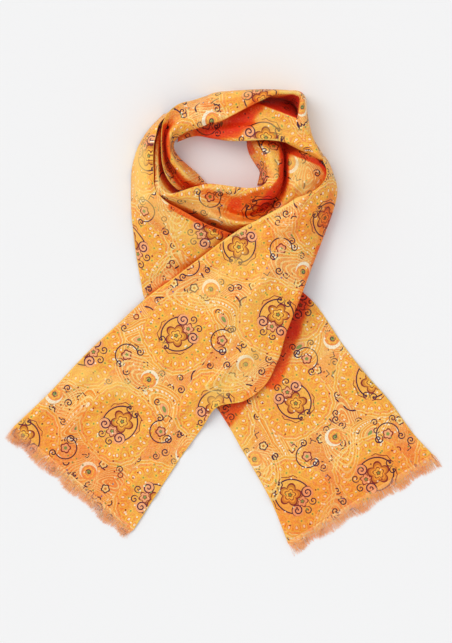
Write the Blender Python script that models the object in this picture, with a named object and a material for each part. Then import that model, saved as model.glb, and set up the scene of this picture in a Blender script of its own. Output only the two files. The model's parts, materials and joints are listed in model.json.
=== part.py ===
"""A long silk scarf with fringed ends, wound twice into a neck loop and laid flat, its two tails crossed.

Every stretch of the strip that shows is one closed cloth wall. A stretch is a sheet drawn through rails,
which run along the strip, and sections, which run across it. The tables below give the sections.

Places in plan are read on a drafting grid, x to the right and y away from the top of the sheet. One grid unit
is the cloth's width divided by GRID_UNITS_ACROSS. Heights are in millimetres above the surface it lies on.
"""

import math
import random
from collections import namedtuple

import bpy
import numpy as np
from mathutils.bvhtree import BVHTree

# Driving dimensions, in metres
CLOTH_WIDTH = 0.18
WALL = 0.0012
SEAM_GAP = 0.0003
FRINGE_LENGTH = 0.0145
FRINGE_BACKING = 0.0016

# The drafting grid
GRID_UNITS_ACROSS = 163.0
GRID = CLOTH_WIDTH / GRID_UNITS_ACROSS
GRID_CENTRE = (221.4, 321.7)
MM = 0.001

# Folds are rounded over this width, in grid units, but over no more than this share of a narrow lip
FOLD_WIDTH = 2.7
LARGEST_FOLD_SHARE = 0.35

# Where the rails stand across a section, as shares of the way over it
TAIL_SHARES = (0, 0.1, 0.25, 0.45, 0.68, 0.86)
PANEL_SHARES = (0, 0.1, 0.25, 0.45, 0.65, 0.83, 1)
BACK_SHARES = (0.34, 0.68)
LIP_SHARE = 0.55
OUTLINE_SHARE = 0.85
POCKET_SHARE = 0.3
SELVEDGE_SHARES = (0.45, 0.78)
SHOULDER_SHARE = 0.36
DROP_SHARE = 0.7
DROP_STEP = 0.1
SLOPE_REST = 0.45
SLOPE_STEP = 0.4

# Powers of a panel's slow ramp and of its wall at the outer edge
RAMP_POWER = 1.5
DOME_POWER = 2.6

# Heights in millimetres: rails over or under the lines between the tables' points
BACK_RISE = 1
EDGE_DROP = 1.5
LIP_FALL = 2
OUTLINE_FALL = 8
POCKET_FALL = 5
RIM_DROP = 1
LIP_DROP = 0.5
HEM_RISE = 1.5
OUTLINE_HEIGHTS = (20, 10, 0)
CLOTH_END = 1.2
# How the walls are meshed: a bend of one radian draws in as many columns as this length of flat cloth does
BEND_LENGTH = 0.006
# Inside a tight fold the wall thins, step by step, to no less than this
LEAST_WALL = 0.00025
THINNING = 0.82
THINNING_ROUNDS = 14
SHARP_ANGLE = math.radians(50)
FINE_STEPS = 24
CHORD_POWER = 0.75

# Fringe: how the strands narrow, lean and vary in reach, and the heights of the backing and the tips
STRANDS_PER_END = 84
STRAND_SEED = 11
STRAND_TAPER = 0.4
STRAND_LEAN = 0.9
STRAND_REACH = (0.82, 1.0)
BACKING_LOW = 0.0001
BACKING_HIGH = 0.0011
TIP_LOW = 0.0002
TIP_HIGH = 0.0008

# Front tail, from its cloth end to the right shoulder: left and right edge with their heights, how far the
# middle stands over the line between them, and how far the hem rolls back under the right edge.
Tail = namedtuple("Tail", "lx ly lz rx ry rz crown roll hem_z")
FRONT_TAIL = (
    Tail(13.5, 427, 1.2, 133.5, 530, 1.2, 0, -3, 1.2),
    Tail(50, 392, 1.2, 160, 489, 1.2, 0, -3, 1.2),
    Tail(90, 350, 1.2, 186, 450, 1.2, 0, -3, 1.2),
    Tail(118, 324, 2.6, 202, 428, 3.5, 0.5, -3, 3.5),
    Tail(145, 299, 6, 217, 407, 11, 1, -3, 12),
    Tail(175, 277, 11, 246, 400, 8, 3, -3, 8),
    Tail(203, 256, 18, 268, 381, 6, 5, -2, 6),
    Tail(222, 241.5, 25, 279, 358, 10, 5, 0.5, 8),
    Tail(240, 229.5, 29, 286, 334, 20, 5, 1, 17),
    Tail(257, 220.5, 32, 302, 293, 26, 4, 2, 21),
    Tail(272, 212.5, 34, 313, 264, 17, 9, 3, 8),
    Tail(286, 205, 36, 325, 233, 13, 12, 3, 1.5),
    Tail(297, 198, 37, 334, 208, 12, 12, 2.5, 0),
    Tail(307, 194.5, 37, 337, 194, 12, 10, 2, 0),
    Tail(317, 189, 37, 336.5, 185, 13, 8, 1.5, 0),
    Tail(325, 179, 37, 334, 176.5, 14, 6, 1, 0),
    Tail(325.8, 169.5, 37, 331, 168, 14, 5, 0.8, 0),
    Tail(322.9, 162, 37.5, 327, 159.5, 14, 4, 0.6, 0),
)

# The shoulder starts at this row
SHOULDER_ROW = 11

# Back tail and left panel: outer edge, inner edge with its height, and how steeply the cloth rises at the
# outer edge, from 0 for a slow ramp to 1 for a wall.
Panel = namedtuple("Panel", "ox oy ix iy iz belly")
BACK_TAIL = (
    Panel(288, 543, 433, 455, 1.2, 0),
    Panel(272, 503, 412, 432, 1.2, 0),
    Panel(254, 470, 388, 399, 1.2, 0),
    Panel(241, 448, 364, 372, 1.2, 0),
    Panel(231, 430, 341, 342, 1.2, 0),
    Panel(217, 408, 316, 305, 1.2, 0),
    Panel(200, 385, 290, 281, 1.2, 0),
    Panel(181, 352, 265, 258, 3, 0),
)
LEFT_PANEL = (
    Panel(163, 325, 249, 245, 12, 0),
    Panel(145, 299, 232.5, 234.5, 19, 0.1),
    Panel(141, 282, 206, 224, 23, 0.3),
    Panel(137.5, 263, 178, 208.5, 27, 0.5),
    Panel(135.5, 251, 167, 202.5, 28, 0.6),
    Panel(134, 238, 157, 192, 30, 0.7),
    Panel(131.5, 215, 154, 172, 33, 0.8),
    Panel(131, 190, 154, 150, 34.5, 0.85),
    Panel(132, 168, 156, 137, 34, 0.9),
    Panel(138, 147, 160, 124, 30, 0.9),
    Panel(149, 129, 169, 115, 25, 0.9),
    Panel(163, 114.5, 179, 109, 18, 0.8),
)

# The strip over the back of the neck runs right along the back band, round the hollow at the corner, and left
# along the top band into the left inner band.
# Back band: bottom of the hollow, ridge beside it, free edge, the turned-under edge and its foot.
Back = namedtuple("Back", "px py kx ky kz ex ey ez ux uy uz fx fy fz")
HOLLOW_Z = 4
BACK_BAND = (
    Back(180, 120, 178, 130, 7, 178, 141, 7, 177.5, 142, 4, 177, 142.5, 0),
    Back(197, 112, 197, 122, 16, 197, 136.3, 16, 197, 136, 8, 197, 134.5, 0),
    Back(213, 107, 213, 118, 21, 213, 139, 24, 213, 138.3, 12, 213, 136, 0),
    Back(230, 102, 230, 113, 24, 230, 141.5, 30, 230, 140.5, 17, 230, 138, 6),
    Back(246, 99, 246, 106, 25, 246, 141.8, 34, 246, 139.5, 26, 246, 136.5, 20),
    Back(254, 98.7, 254, 105.2, 26.5, 254, 141.4, 35, 254, 138.5, 30, 254, 134.5, 27),
    Back(264, 98.9, 264, 106.5, 28, 264, 141, 36, 264, 139.5, 32, 264, 136, 30),
    Back(276, 99.8, 273, 109.5, 28, 277, 142, 36.5, 277, 141.2, 33.5, 277, 139.5, 31.5),
    Back(284, 101.8, 281.5, 112, 28, 288, 144.3, 36.5, 288.1, 144.8, 34, 288.2, 145.4, 31.5),
    Back(290, 104.8, 288.5, 115, 29, 298, 147.8, 37, 298.4, 149, 34, 298.8, 150.6, 31.5),
    Back(294.8, 108.8, 294, 118, 31, 309, 152.4, 37.5, 309.5, 153.9, 34.5, 310, 155.6, 31.5),
    Back(297.2, 112, 296.7, 119, 33, 321, 160.3, 37.5, 321.2, 161, 34, 321.2, 161.6, 30),
)
# Top band: bottom of the hollow, inner top edge and outline. It leans in over the back band.
Top = namedtuple("Top", "px py pz ex ey ez ox oy")
TOP_BAND = (
    Top(297.4, 111.4, 6, 297.3, 117, 34, 322.5, 155),
    Top(296.3, 108.4, 6, 298, 114.5, 35, 313.5, 140),
    Top(293.8, 105.6, 7, 299, 109, 36, 309.5, 126),
    Top(290.5, 102.9, 8, 300.3, 103, 37, 306.8, 111),
    Top(287, 100.9, 9, 300.7, 98, 37.5, 305, 97.3),
    Top(283.5, 99.6, 10, 296, 95.3, 38, 299.8, 92.2),
    Top(280, 98.9, 11, 287, 95, 38.5, 288.8, 90.9),
    Top(272.5, 98.6, 14, 274.5, 95.8, 39.5, 275, 90.2),
    Top(263, 98, 20, 262, 101.5, 40.5, 261.5, 90),
    Top(250, 99, 27, 248, 108.5, 41, 247.5, 90.6),
    Top(234, 104, 30, 232, 117, 42, 231.5, 91.6),
    Top(219, 111, 31, 216, 124, 41, 212.7, 94),
)
# Left inner band: foot in the neck opening, hole edge, lip, valley and selvedge.
Ring = namedtuple("Ring", "fx fy fz hx hy hz lx ly lz vx vy vz sx sy sz")
LEFT_INNER = (
    Ring(203, 123, 30, 201.5, 128.5, 34, 198.5, 114.5, 38, 196, 108.5, 32, 193.5, 100.5, 12),
    Ring(190.5, 127, 24, 189, 132, 29, 186.5, 121, 37, 183, 115, 31, 178, 105.5, 27),
    Ring(180, 133, 18, 180, 137, 25, 176.5, 128, 36, 172.5, 122.5, 28, 168, 115, 35),
    Ring(174.5, 140, 10, 175, 142, 19, 171, 134, 36, 167.4, 130, 25, 163.6, 124, 37),
    Ring(174.3, 149, 0, 174.5, 149.5, 12, 168.7, 142.7, 35, 165.4, 140.8, 22, 162, 136, 37),
    Ring(179, 158, 0, 179.5, 157.5, 9, 169.5, 153, 33, 165.6, 151.5, 20, 161.9, 149, 36.5),
    Ring(186.5, 165, 0, 187, 164.5, 7, 173, 163, 30, 168, 163.5, 17, 162.9, 164, 35),
    Ring(195.5, 172.5, 0, 196, 172, 6, 180.5, 171.5, 27, 174, 174, 14, 167, 177, 33),
    Ring(203, 180.5, 0, 203.5, 180, 5, 188, 180, 22, 181, 183.5, 11, 173.5, 186, 30),
    Ring(207.3, 184.4, 0, 207, 183.8, 5, 195, 187, 16, 187.5, 189.4, 8, 179.5, 190.8, 26),
)

# Front band and right band: foot and inner wall inside the rim, the rim, how far the slope beside it stands
# over the line to the valley and how sharply it drops there, the valley, the crest, and the hem.
Band = namedtuple("Band", "nx ny nz wx wy wz rx ry rz puff drop vx vy vz cx cy cz hx hy hz")
FRONT_BAND = (
    Band(173, 122.5, 6, 171.5, 122, 10, 168.5, 120.5, 14, 0, 0, 165, 118.7, 9, 164.4, 118.4, 5, 163.8, 118, 1.2),
    Band(169, 129, 7, 167.3, 128.5, 14, 164.5, 127.3, 19, 0, 0, 161, 125.7, 12, 160.2, 125.3, 7, 159.4, 125, 1.2),
    Band(164.5, 139, 8, 163, 139, 20, 159.8, 139, 27, 0, 0, 154.5, 138.5, 18, 153, 138.5, 10, 151.5, 138, 1.2),
    Band(163.5, 152, 8, 161.8, 151.5, 22, 158.5, 151, 30, 0, 0, 153, 151, 20, 151.5, 151, 11, 150, 151, 1.2),
    Band(163.8, 165.5, 8, 162, 165, 22, 158.3, 165, 31, 0, 0, 152.8, 165.5, 20, 151.3, 166, 11, 149.8, 167, 1.2),
    Band(167.5, 176.5, 8, 164, 177.5, 22, 159, 180, 32, 0, 0, 154, 182.5, 20, 152.8, 184.5, 11, 151.8, 188, 1.2),
    Band(171.5, 186, 8, 167.5, 187, 24, 162, 190, 33, 0, 0, 158.5, 195.5, 22, 158, 200, 12, 157.5, 205, 1.2),
    Band(176, 193.5, 6, 172.5, 193.5, 24, 168.5, 194.5, 34, 0, 0, 168, 201.5, 23, 168.5, 207, 15, 169.5, 214, 1.2),
    Band(181, 198, 1.2, 180, 196.2, 20, 178.6, 193.3, 34.5, 2, 0, 182, 204, 27, 185, 209, 22, 190, 218, 1.2),
    Band(191.5, 194.5, 1.2, 191, 192.5, 20, 190, 189.2, 34.5, 2, 0, 192, 205, 26, 194, 211, 23, 198, 221, 1.2),
    Band(200, 192.5, 1.2, 199.5, 190.5, 20, 198.5, 186.8, 34, 2, 0, 201, 206, 25, 203, 213.5, 24, 206, 223.5, 1.2),
    Band(210.5, 191.5, 1.2, 210, 189, 20, 209, 184.8, 34, 1, 0.2, 215, 209, 21, 215.5, 216.5, 25, 218, 227, 1.2),
    Band(222, 192.5, 1.2, 222, 190, 20, 222, 185.8, 33, 0, 0.4, 230, 214, 14, 230, 221.5, 24, 232, 232, 1.2),
    Band(236.5, 194.5, 1.2, 236.5, 192, 20, 236, 187.8, 33, 0, 0.6, 247, 217, 12, 246, 224, 24, 245, 235, 1.2),
    Band(253, 196, 1.2, 252, 193.5, 20, 250, 188.8, 33.5, 2, 0.6, 263.5, 211.5, 13, 265, 219, 24, 264, 231, 6),
)
RIGHT_BAND = (
    Band(269.5, 190, 1.2, 268, 188.5, 20, 264, 185.5, 34, 6, 0.7, 277, 198, 13, 284, 202, 25, 302, 205, 25),
    Band(273, 178, 1.2, 272, 177, 20, 268, 176.5, 34.5, 10, 0.9, 283.8, 182, 11, 288.5, 182, 26, 326, 184.5, 26),
    Band(271, 167, 1.2, 270, 166, 20, 266, 165, 34.5, 10, 1, 284.4, 170, 10, 288.5, 170.5, 26, 329.4, 176, 25.2),
    Band(269, 157, 1.2, 268.3, 156.5, 20, 264.3, 156, 33.5, 10, 1, 284.7, 159, 10, 288.5, 160, 25, 322, 165, 26),
    Band(265.5, 147, 1.2, 264.5, 146.8, 18, 260.5, 146.3, 29, 7, 1, 284, 149.5, 8, 288.5, 154, 21, 306, 154.5, 24),
    Band(262.5, 138, 1.2, 261.5, 138, 14, 258, 138, 23, 5, 1, 282, 142, 5, 286, 147.5, 6, 293, 149, 7),
)

# Inner turn seen at the right of the neck opening: foot, middle and top.
Inner = namedtuple("Inner", "fx fy mx my mz tx ty tz")
INNER_TURN = (
    Inner(246.5, 139, 251, 138.5, 10, 255.5, 137.5, 16),
    Inner(247, 147, 252, 146.5, 14, 258.6, 146, 23),
    Inner(250, 156, 256, 155.5, 14, 263.4, 155, 25),
    Inner(255.5, 165, 260, 164.5, 14, 266.2, 163.8, 26),
    Inner(259.5, 172, 263, 172.5, 13, 268.4, 173, 24),
    Inner(258.5, 179.5, 262.5, 180, 12, 266.6, 180.8, 21),
    Inner(257, 185, 259.5, 184.3, 9, 262, 183.6, 15),
)

CLOTH_COLOURS = {
    "front_tail": (0.93, 0.42, 0.11),
    "right_shoulder": (0.93, 0.42, 0.11),
    "back_tail": (0.92, 0.38, 0.10),
    "left_panel": (0.95, 0.46, 0.12),
    "back_band": (0.86, 0.30, 0.07),
    "top_band": (0.94, 0.44, 0.14),
    "left_inner_band": (0.90, 0.34, 0.09),
    "front_band": (0.92, 0.38, 0.10),
    "right_band": (0.93, 0.45, 0.12),
    "inner_turn": (0.74, 0.20, 0.06),
}
FRINGE_COLOUR = (0.90, 0.40, 0.24)
SILK_ROUGHNESS = 0.42
FRINGE_ROUGHNESS = 0.7


def place(x, y, z):
    """A point of the drafting grid, with a height in millimetres, in metres."""
    return ((x - GRID_CENTRE[0]) * GRID, (GRID_CENTRE[1] - y) * GRID, z * MM)


def between(a, b, t):
    """The point a share t of the way from a to b."""
    return tuple(p + (q - p) * t for p, q in zip(a, b))


def lifted(point, rise):
    return (point[0], point[1], point[2] + rise)


def tail_section(row):
    """Across the front tail: left edge, middle, right edge and the hem that rolls under."""
    left = (row.lx, row.ly, row.lz)
    right = (row.rx, row.ry, row.rz)
    span = math.hypot(row.rx - row.lx, row.ry - row.ly)
    turn = abs(row.roll) / span
    back = between(right, left, turn)
    if row.roll < 0:
        edge = (back[0], back[1], row.rz)
        hem = (row.rx, row.ry, row.hem_z)
    else:
        edge = right
        hem = (back[0], back[1], row.hem_z)
    points = []
    for share in TAIL_SHARES:
        points.append(lifted(between(left, edge, share), row.crown * 4 * share * (1 - share)))
    return points + [edge, hem]


def panel_section(row):
    """Across the back tail or left panel, from the outer edge on the surface to the inner edge."""
    points = []
    for share in PANEL_SHARES:
        ramp = share**RAMP_POWER
        dome = 1 - (1 - share) ** DOME_POWER
        rise = (row.iz - CLOTH_END) * (ramp + (dome - ramp) * row.belly)
        points.append((row.ox + (row.ix - row.ox) * share, row.oy + (row.iy - row.oy) * share, CLOTH_END + rise))
    return points


def back_section(row):
    """Across the back band, from the bottom of the hollow over the ridge to the free edge and its foot."""
    pocket = (row.px, row.py, HOLLOW_Z)
    ridge = (row.kx, row.ky, row.kz)
    edge = (row.ex, row.ey, row.ez)
    near = between(edge, ridge, FOLD_WIDTH / 2 / math.hypot(row.ex - row.kx, row.ey - row.ky))
    return [
        pocket,
        between(pocket, ridge, 0.5),
        ridge,
        lifted(between(ridge, edge, BACK_SHARES[0]), BACK_RISE),
        lifted(between(ridge, edge, BACK_SHARES[1]), BACK_RISE),
        (near[0], near[1], row.ez),
        lifted(edge, -EDGE_DROP),
        (row.ux, row.uy, row.uz),
        (row.fx, row.fy, row.fz),
    ]


def top_section(row):
    """Across the top band, from the bottom of the hollow over the top edge to the outline and the surface."""
    pocket = (row.px, row.py, row.pz)
    edge = (row.ex, row.ey, row.ez)
    outline = [(row.ox, row.oy, height) for height in OUTLINE_HEIGHTS]
    wall = between(edge, pocket, POCKET_SHARE)
    wide = math.hypot(row.ox - row.ex, row.oy - row.ey)
    near = between(edge, outline[0], min(FOLD_WIDTH / wide, LARGEST_FOLD_SHARE))
    lip = between(edge, outline[0], LIP_SHARE)
    bend = between(edge, outline[0], OUTLINE_SHARE)
    return [
        pocket,
        (wall[0], wall[1], min(wall[2], row.ez - POCKET_FALL)),
        lifted(edge, -RIM_DROP),
        (near[0], near[1], row.ez),
        (lip[0], lip[1], row.ez - LIP_FALL),
        (bend[0], bend[1], row.ez - OUTLINE_FALL),
        *outline,
    ]


def ring_section(row):
    """Across the left inner band, from its foot in the neck opening over lip and valley to the selvedge."""
    hole = (row.hx, row.hy, row.hz)
    lip = (row.lx, row.ly, row.lz)
    valley = (row.vx, row.vy, row.vz)
    selvedge = (row.sx, row.sy, row.sz)
    into = between(lip, hole, FOLD_WIDTH / 2 / math.hypot(row.hx - row.lx, row.hy - row.ly))
    over = between(lip, valley, FOLD_WIDTH / 2 / math.hypot(row.vx - row.lx, row.vy - row.ly))
    return [
        (row.fx, row.fy, row.fz),
        hole,
        lifted(between(hole, lip, LIP_SHARE), LIP_FALL),
        (into[0], into[1], row.lz),
        (over[0], over[1], row.lz - LIP_DROP),
        valley,
        between(valley, selvedge, SELVEDGE_SHARES[0]),
        between(valley, selvedge, SELVEDGE_SHARES[1]),
        selvedge,
    ]


def band_section(row):
    """Across the front or right band, from its inner foot over rim, valley and crest to the hem."""
    valley = (row.vx, row.vy, row.vz)
    crest = (row.cx, row.cy, row.cz)
    hem = (row.hx, row.hy, row.hz)
    wide = math.hypot(row.vx - row.wx, row.vy - row.wy)
    over = FOLD_WIDTH / wide
    rim = (row.rx + (row.vx - row.wx) * over, row.ry + (row.vy - row.wy) * over, row.rz)
    shoulder = lifted(between(rim, valley, SHOULDER_SHARE), row.puff)
    near = between(rim, valley, DROP_SHARE + DROP_STEP * row.drop)
    near_z = row.vz + (shoulder[2] - row.vz) * (SLOPE_REST + SLOPE_STEP * row.drop)
    return [
        (row.nx, row.ny, row.nz),
        (row.wx, row.wy, row.wz),
        (row.rx, row.ry, row.rz - LIP_DROP),
        rim,
        shoulder,
        (near[0], near[1], near_z),
        valley,
        crest,
        lifted(between(crest, hem, 0.5), HEM_RISE),
        hem,
    ]


def inner_section(row):
    return [(row.fx, row.fy, 0), (row.mx, row.my, row.mz), (row.tx, row.ty, row.tz)]


def rails(rows, section):
    """Sections as an array of rows by rails by x, y, z, in metres."""
    return np.array([[place(*point) for point in section(row)] for row in rows])


def spline(points, at, when):
    """A smooth curve through points, given at the parameters at, read at the parameters when."""
    step = np.diff(at)
    slope = np.diff(points, axis=0) / step[:, None]
    tangent = np.empty_like(points)
    tangent[0] = slope[0]
    tangent[-1] = slope[-1]
    weight = (step[1:] / (step[:-1] + step[1:]))[:, None]
    tangent[1:-1] = slope[:-1] * weight + slope[1:] * (1 - weight)
    cell = np.clip(np.searchsorted(at, when, side="right") - 1, 0, len(step) - 1)
    wide = step[cell][:, None]
    t = ((when - at[cell]) / step[cell])[:, None]
    start = points[cell] * (2 * t**3 - 3 * t**2 + 1) + tangent[cell] * wide * (t**3 - 2 * t**2 + t)
    end = points[cell + 1] * (3 * t**2 - 2 * t**3) + tangent[cell + 1] * wide * (t**3 - t**2)
    return start + end


def distances(chain):
    """The distance along a chain at each of its rows, averaged over the rails."""
    gaps = np.linalg.norm(np.diff(chain, axis=0), axis=2).mean(axis=1)
    return np.concatenate(([0.0], np.cumsum(gaps)))


def across(section, when):
    """A smooth curve across one section, read at rail numbers and shares between them."""
    lengths = np.linalg.norm(np.diff(section, axis=0), axis=1)
    chord = np.concatenate(([0.0], np.cumsum(lengths**CHORD_POWER)))
    return spline(section, chord, np.interp(when, np.arange(len(section)), chord))


def column_places(sections, count):
    """Places of the grid's columns, the same in all sections, closer together where the cloth bends."""
    spans = sections.shape[1] - 1
    fine = np.linspace(0, spans, FINE_STEPS * spans + 1)
    curves = np.array([across(section, fine) for section in sections])
    steps = np.diff(curves, axis=1)
    lengths = np.linalg.norm(steps, axis=2)
    heading = steps / np.maximum(lengths, 1e-9)[..., None]
    cosine = np.clip((heading[:, 1:] * heading[:, :-1]).sum(axis=2), -1, 1)
    bend = np.concatenate((np.zeros((len(curves), 1)), np.arccos(cosine)), axis=1)
    cost = (lengths + BEND_LENGTH * bend).mean(axis=0)
    total = np.concatenate(([0.0], np.cumsum(cost)))
    return np.interp(np.linspace(0, total[-1], count), total, fine)


def sheet(chain, stops, counts, count_across):
    """The grid of points of a whole chain, with a row of it at every stop, and the numbers of those rows."""
    at = distances(chain)
    places = [at[0]]
    marks = [0]
    for stop, count in zip(stops, counts):
        places += list(np.linspace(places[-1], at[stop], count + 1)[1:])
        marks.append(len(places) - 1)
    when = np.array(places)
    sections = np.stack([spline(chain[:, rail], at, when) for rail in range(chain.shape[1])], axis=1)
    columns = column_places(sections, count_across)
    return np.array([across(section, columns) for section in sections]), marks


def facets(rows, columns, side):
    """The triangles of a closed wall: the outer face, the inner face and the borders between them."""
    total = rows * columns
    quads = []
    for i in range(rows - 1):
        for j in range(columns - 1):
            a = i * columns + j
            quad = (a, a + columns, a + columns + 1, a + 1)
            quads.append(quad)
            quads.append(tuple(total + v for v in reversed(quad)))
    border = list(range(columns))
    border += [i * columns + columns - 1 for i in range(1, rows)]
    border += [(rows - 1) * columns + j for j in range(columns - 2, -1, -1)]
    border += [i * columns for i in range(rows - 2, 0, -1)]
    for a, b in zip(border, border[1:] + border[:1]):
        # the diagonal is the same on both sides of a seam
        quads.append((a, b, b + total, a + total) if a < b else (b, b + total, a + total, a))
    if side < 0:
        quads = [quad[::-1] for quad in quads]
    triangles = []
    for a, b, c, d in quads:
        triangles += [(a, b, c), (a, c, d)]
    return triangles


def unit(vectors):
    return vectors / np.maximum(np.linalg.norm(vectors, axis=-1, keepdims=True), 1e-12)


def headings(grid):
    """The direction along the first axis at each point, halfway between the directions to it and from it."""
    step = unit(np.diff(grid, axis=0))
    return unit(np.concatenate((step[:1], step)) + np.concatenate((step, step[-1:])))


def headings_over(grid):
    return headings(grid.transpose(1, 0, 2)).transpose(1, 0, 2)


def inward(grid, side):
    """The step from the outer face to the inner face, thinner where the wall would run into itself."""
    rows, columns = grid.shape[:2]
    total = rows * columns
    way = unit(np.cross(headings(grid), headings_over(grid)) * -side)
    triangles = facets(rows, columns, side)
    depth = np.full(total, WALL)
    for _ in range(THINNING_ROUNDS):
        under = grid + way * depth.reshape(rows, columns, 1)
        points = np.concatenate((grid.reshape(-1, 3), under.reshape(-1, 3)))
        tree = BVHTree.FromPolygons(points.tolist(), triangles)
        tight = set()
        for first, second in tree.overlap(tree):
            if first < second and not set(triangles[first]) & set(triangles[second]):
                tight.update(v - total for v in triangles[first] + triangles[second] if v >= total)
        if not tight:
            break
        tight = sorted(tight)
        depth[tight] = np.maximum(depth[tight] * THINNING, LEAST_WALL)
    return way * depth.reshape(rows, columns, 1)


def drawn_back(grid, start, end):
    """One face of a stretch with its end rows drawn back by half a seam where it meets the next stretch."""
    drawn = grid.copy()
    over = headings_over(grid)
    for row, beside, meets in ((0, 1, start), (-1, -2, end)):
        if meets:
            step = grid[beside] - grid[row]
            square = step - over[row] * (step * over[row]).sum(axis=1, keepdims=True)
            drawn[row] += unit(square) * SEAM_GAP / 2
    drawn[..., 2] = np.maximum(drawn[..., 2], 0)
    return drawn


def cloth_objects(chain, stops, counts, count_across, side, names):
    """The stretches of a chain as closed walls of cloth, parted by the seam gap.

    The side is 1 where rows by rails turn anticlockwise seen from outside, otherwise -1.
    """
    grid, marks = sheet(chain, stops, counts, count_across)
    step = inward(grid, side)
    grid[..., 2] = np.maximum(grid[..., 2], np.maximum(-step[..., 2], 0))
    under = grid + step
    under[..., 2] = np.maximum(under[..., 2], 0)
    for index, name in enumerate(names):
        rows = slice(marks[index], marks[index + 1] + 1)
        meets = (index > 0, index < len(names) - 1)
        cloth_object(name, drawn_back(grid[rows], *meets), drawn_back(under[rows], *meets), side)


def cloth_object(name, outer, under, side):
    points = np.concatenate((outer.reshape(-1, 3), under.reshape(-1, 3)))
    mesh = bpy.data.meshes.new(name)
    mesh.from_pydata(points.tolist(), [], facets(*outer.shape[:2], side))
    mesh.update()
    mesh.shade_smooth()
    mesh.set_sharp_from_angle(angle=SHARP_ANGLE)
    thing = bpy.data.objects.new(name, mesh)
    bpy.context.scene.collection.objects.link(thing)
    mesh.materials.append(material(name, CLOTH_COLOURS[name], SILK_ROUGHNESS))


def material(name, colour, roughness):
    made = bpy.data.materials.new(name)
    made.use_nodes = True
    shader = made.node_tree.nodes["Principled BSDF"]
    shader.inputs["Base Color"].default_value = (*colour, 1)
    shader.inputs["Roughness"].default_value = roughness
    shader.inputs["Metallic"].default_value = 0
    return made


def fringe_object(name, start, end, random_source):
    """A narrow backing strip along the cloth's end, with frayed strands drawn out of it.

    The strip runs from start to end in plan, and the strands leave it to the right of that direction.
    """
    along = np.array(end) - np.array(start)
    length = float(np.linalg.norm(along))
    along /= length
    out = np.array((along[1], -along[0]))
    cells = 2 * STRANDS_PER_END + 1
    half = length / cells / 2
    far = SEAM_GAP + FRINGE_BACKING

    def point(run, away, height):
        plan = np.array(start) + along * run + out * away
        return (plan[0], plan[1], height)

    points = []
    for cell in range(cells + 1):
        run = length * cell / cells
        points += [point(run, SEAM_GAP, BACKING_LOW), point(run, SEAM_GAP, BACKING_HIGH)]
        points += [point(run, far, BACKING_HIGH), point(run, far, BACKING_LOW)]
    last = 4 * cells
    faces = [(3, 2, 1, 0), (last, last + 1, last + 2, last + 3)]
    for cell in range(cells):
        a = 4 * cell
        b = a + 4
        faces += [(a + 1, b + 1, b, a), (a + 2, b + 2, b + 1, a + 1), (a, b, b + 3, a + 3)]
        root = (a + 3, b + 3, b + 2, a + 2)
        if cell % 2:
            middle = length * (cell + 0.5) / cells + random_source.uniform(-STRAND_LEAN, STRAND_LEAN) * half
            away = FRINGE_LENGTH * random_source.uniform(*STRAND_REACH)
            tip = tuple(range(len(points), len(points) + 4))
            left = middle - half * STRAND_TAPER
            right = middle + half * STRAND_TAPER
            for run, height in ((left, TIP_LOW), (right, TIP_LOW), (right, TIP_HIGH), (left, TIP_HIGH)):
                points.append(point(run, away, height))
            for k in range(4):
                n = (k + 1) % 4
                faces.append((root[k], root[n], tip[n], tip[k]))
            root = tip
        faces.append(root)
    mesh = bpy.data.meshes.new(name)
    mesh.from_pydata(points, [], faces)
    mesh.update()
    thing = bpy.data.objects.new(name, mesh)
    bpy.context.scene.collection.objects.link(thing)
    mesh.materials.append(material(name, FRINGE_COLOUR, FRINGE_ROUGHNESS))


def main():
    for thing in list(bpy.data.objects):
        bpy.data.objects.remove(thing, do_unlink=True)

    front = rails(FRONT_TAIL, tail_section)
    cloth_objects(front, (SHOULDER_ROW, -1), (18, 14), 12, -1, ("front_tail", "right_shoulder"))

    lower = rails(BACK_TAIL + LEFT_PANEL, panel_section)
    seam = len(BACK_TAIL) - 1
    cloth_objects(lower, (seam, -1), (12, 18), 8, -1, ("back_tail", "left_panel"))

    loop = np.concatenate(
        (rails(BACK_BAND, back_section), rails(TOP_BAND, top_section), rails(LEFT_INNER, ring_section))
    )
    corner = len(BACK_BAND)
    turn = len(BACK_BAND) + len(TOP_BAND) - 1
    cloth_objects(
        loop, (corner, turn, -1), (20, 20, 18), 18, -1, ("back_band", "top_band", "left_inner_band")
    )

    front_loop = rails(FRONT_BAND + RIGHT_BAND, band_section)
    side = len(FRONT_BAND) - 2
    cloth_objects(front_loop, (side, -1), (21, 15), 17, -1, ("front_band", "right_band"))

    cloth_objects(rails(INNER_TURN, inner_section), (-1,), (7,), 5, 1, ("inner_turn",))

    source = random.Random(STRAND_SEED)
    first = FRONT_TAIL[0]
    fringe_object("fringe_front", place(first.lx, first.ly, 0)[:2], place(first.rx, first.ry, 0)[:2], source)
    first = BACK_TAIL[0]
    fringe_object("fringe_back", place(first.ox, first.oy, 0)[:2], place(first.ix, first.iy, 0)[:2], source)


main()
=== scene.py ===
"""The looks of the silk scarf: a printed silk strip with fringed ends, wound into a neck loop and laid flat.

Each stretch of cloth is a thin closed shell drawn through the same sections as the part's solids, with soft
creases listed one by one. The print is worked out by shader nodes in the flat cloth's own coordinates.

Places in plan are read on the part's drafting grid, x to the right and y away from the top of the sheet.
Heights are in millimetres above the surface.
"""

import json
import math
import random

import bpy
import numpy as np
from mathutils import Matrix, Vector
from mathutils.bvhtree import BVHTree

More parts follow.
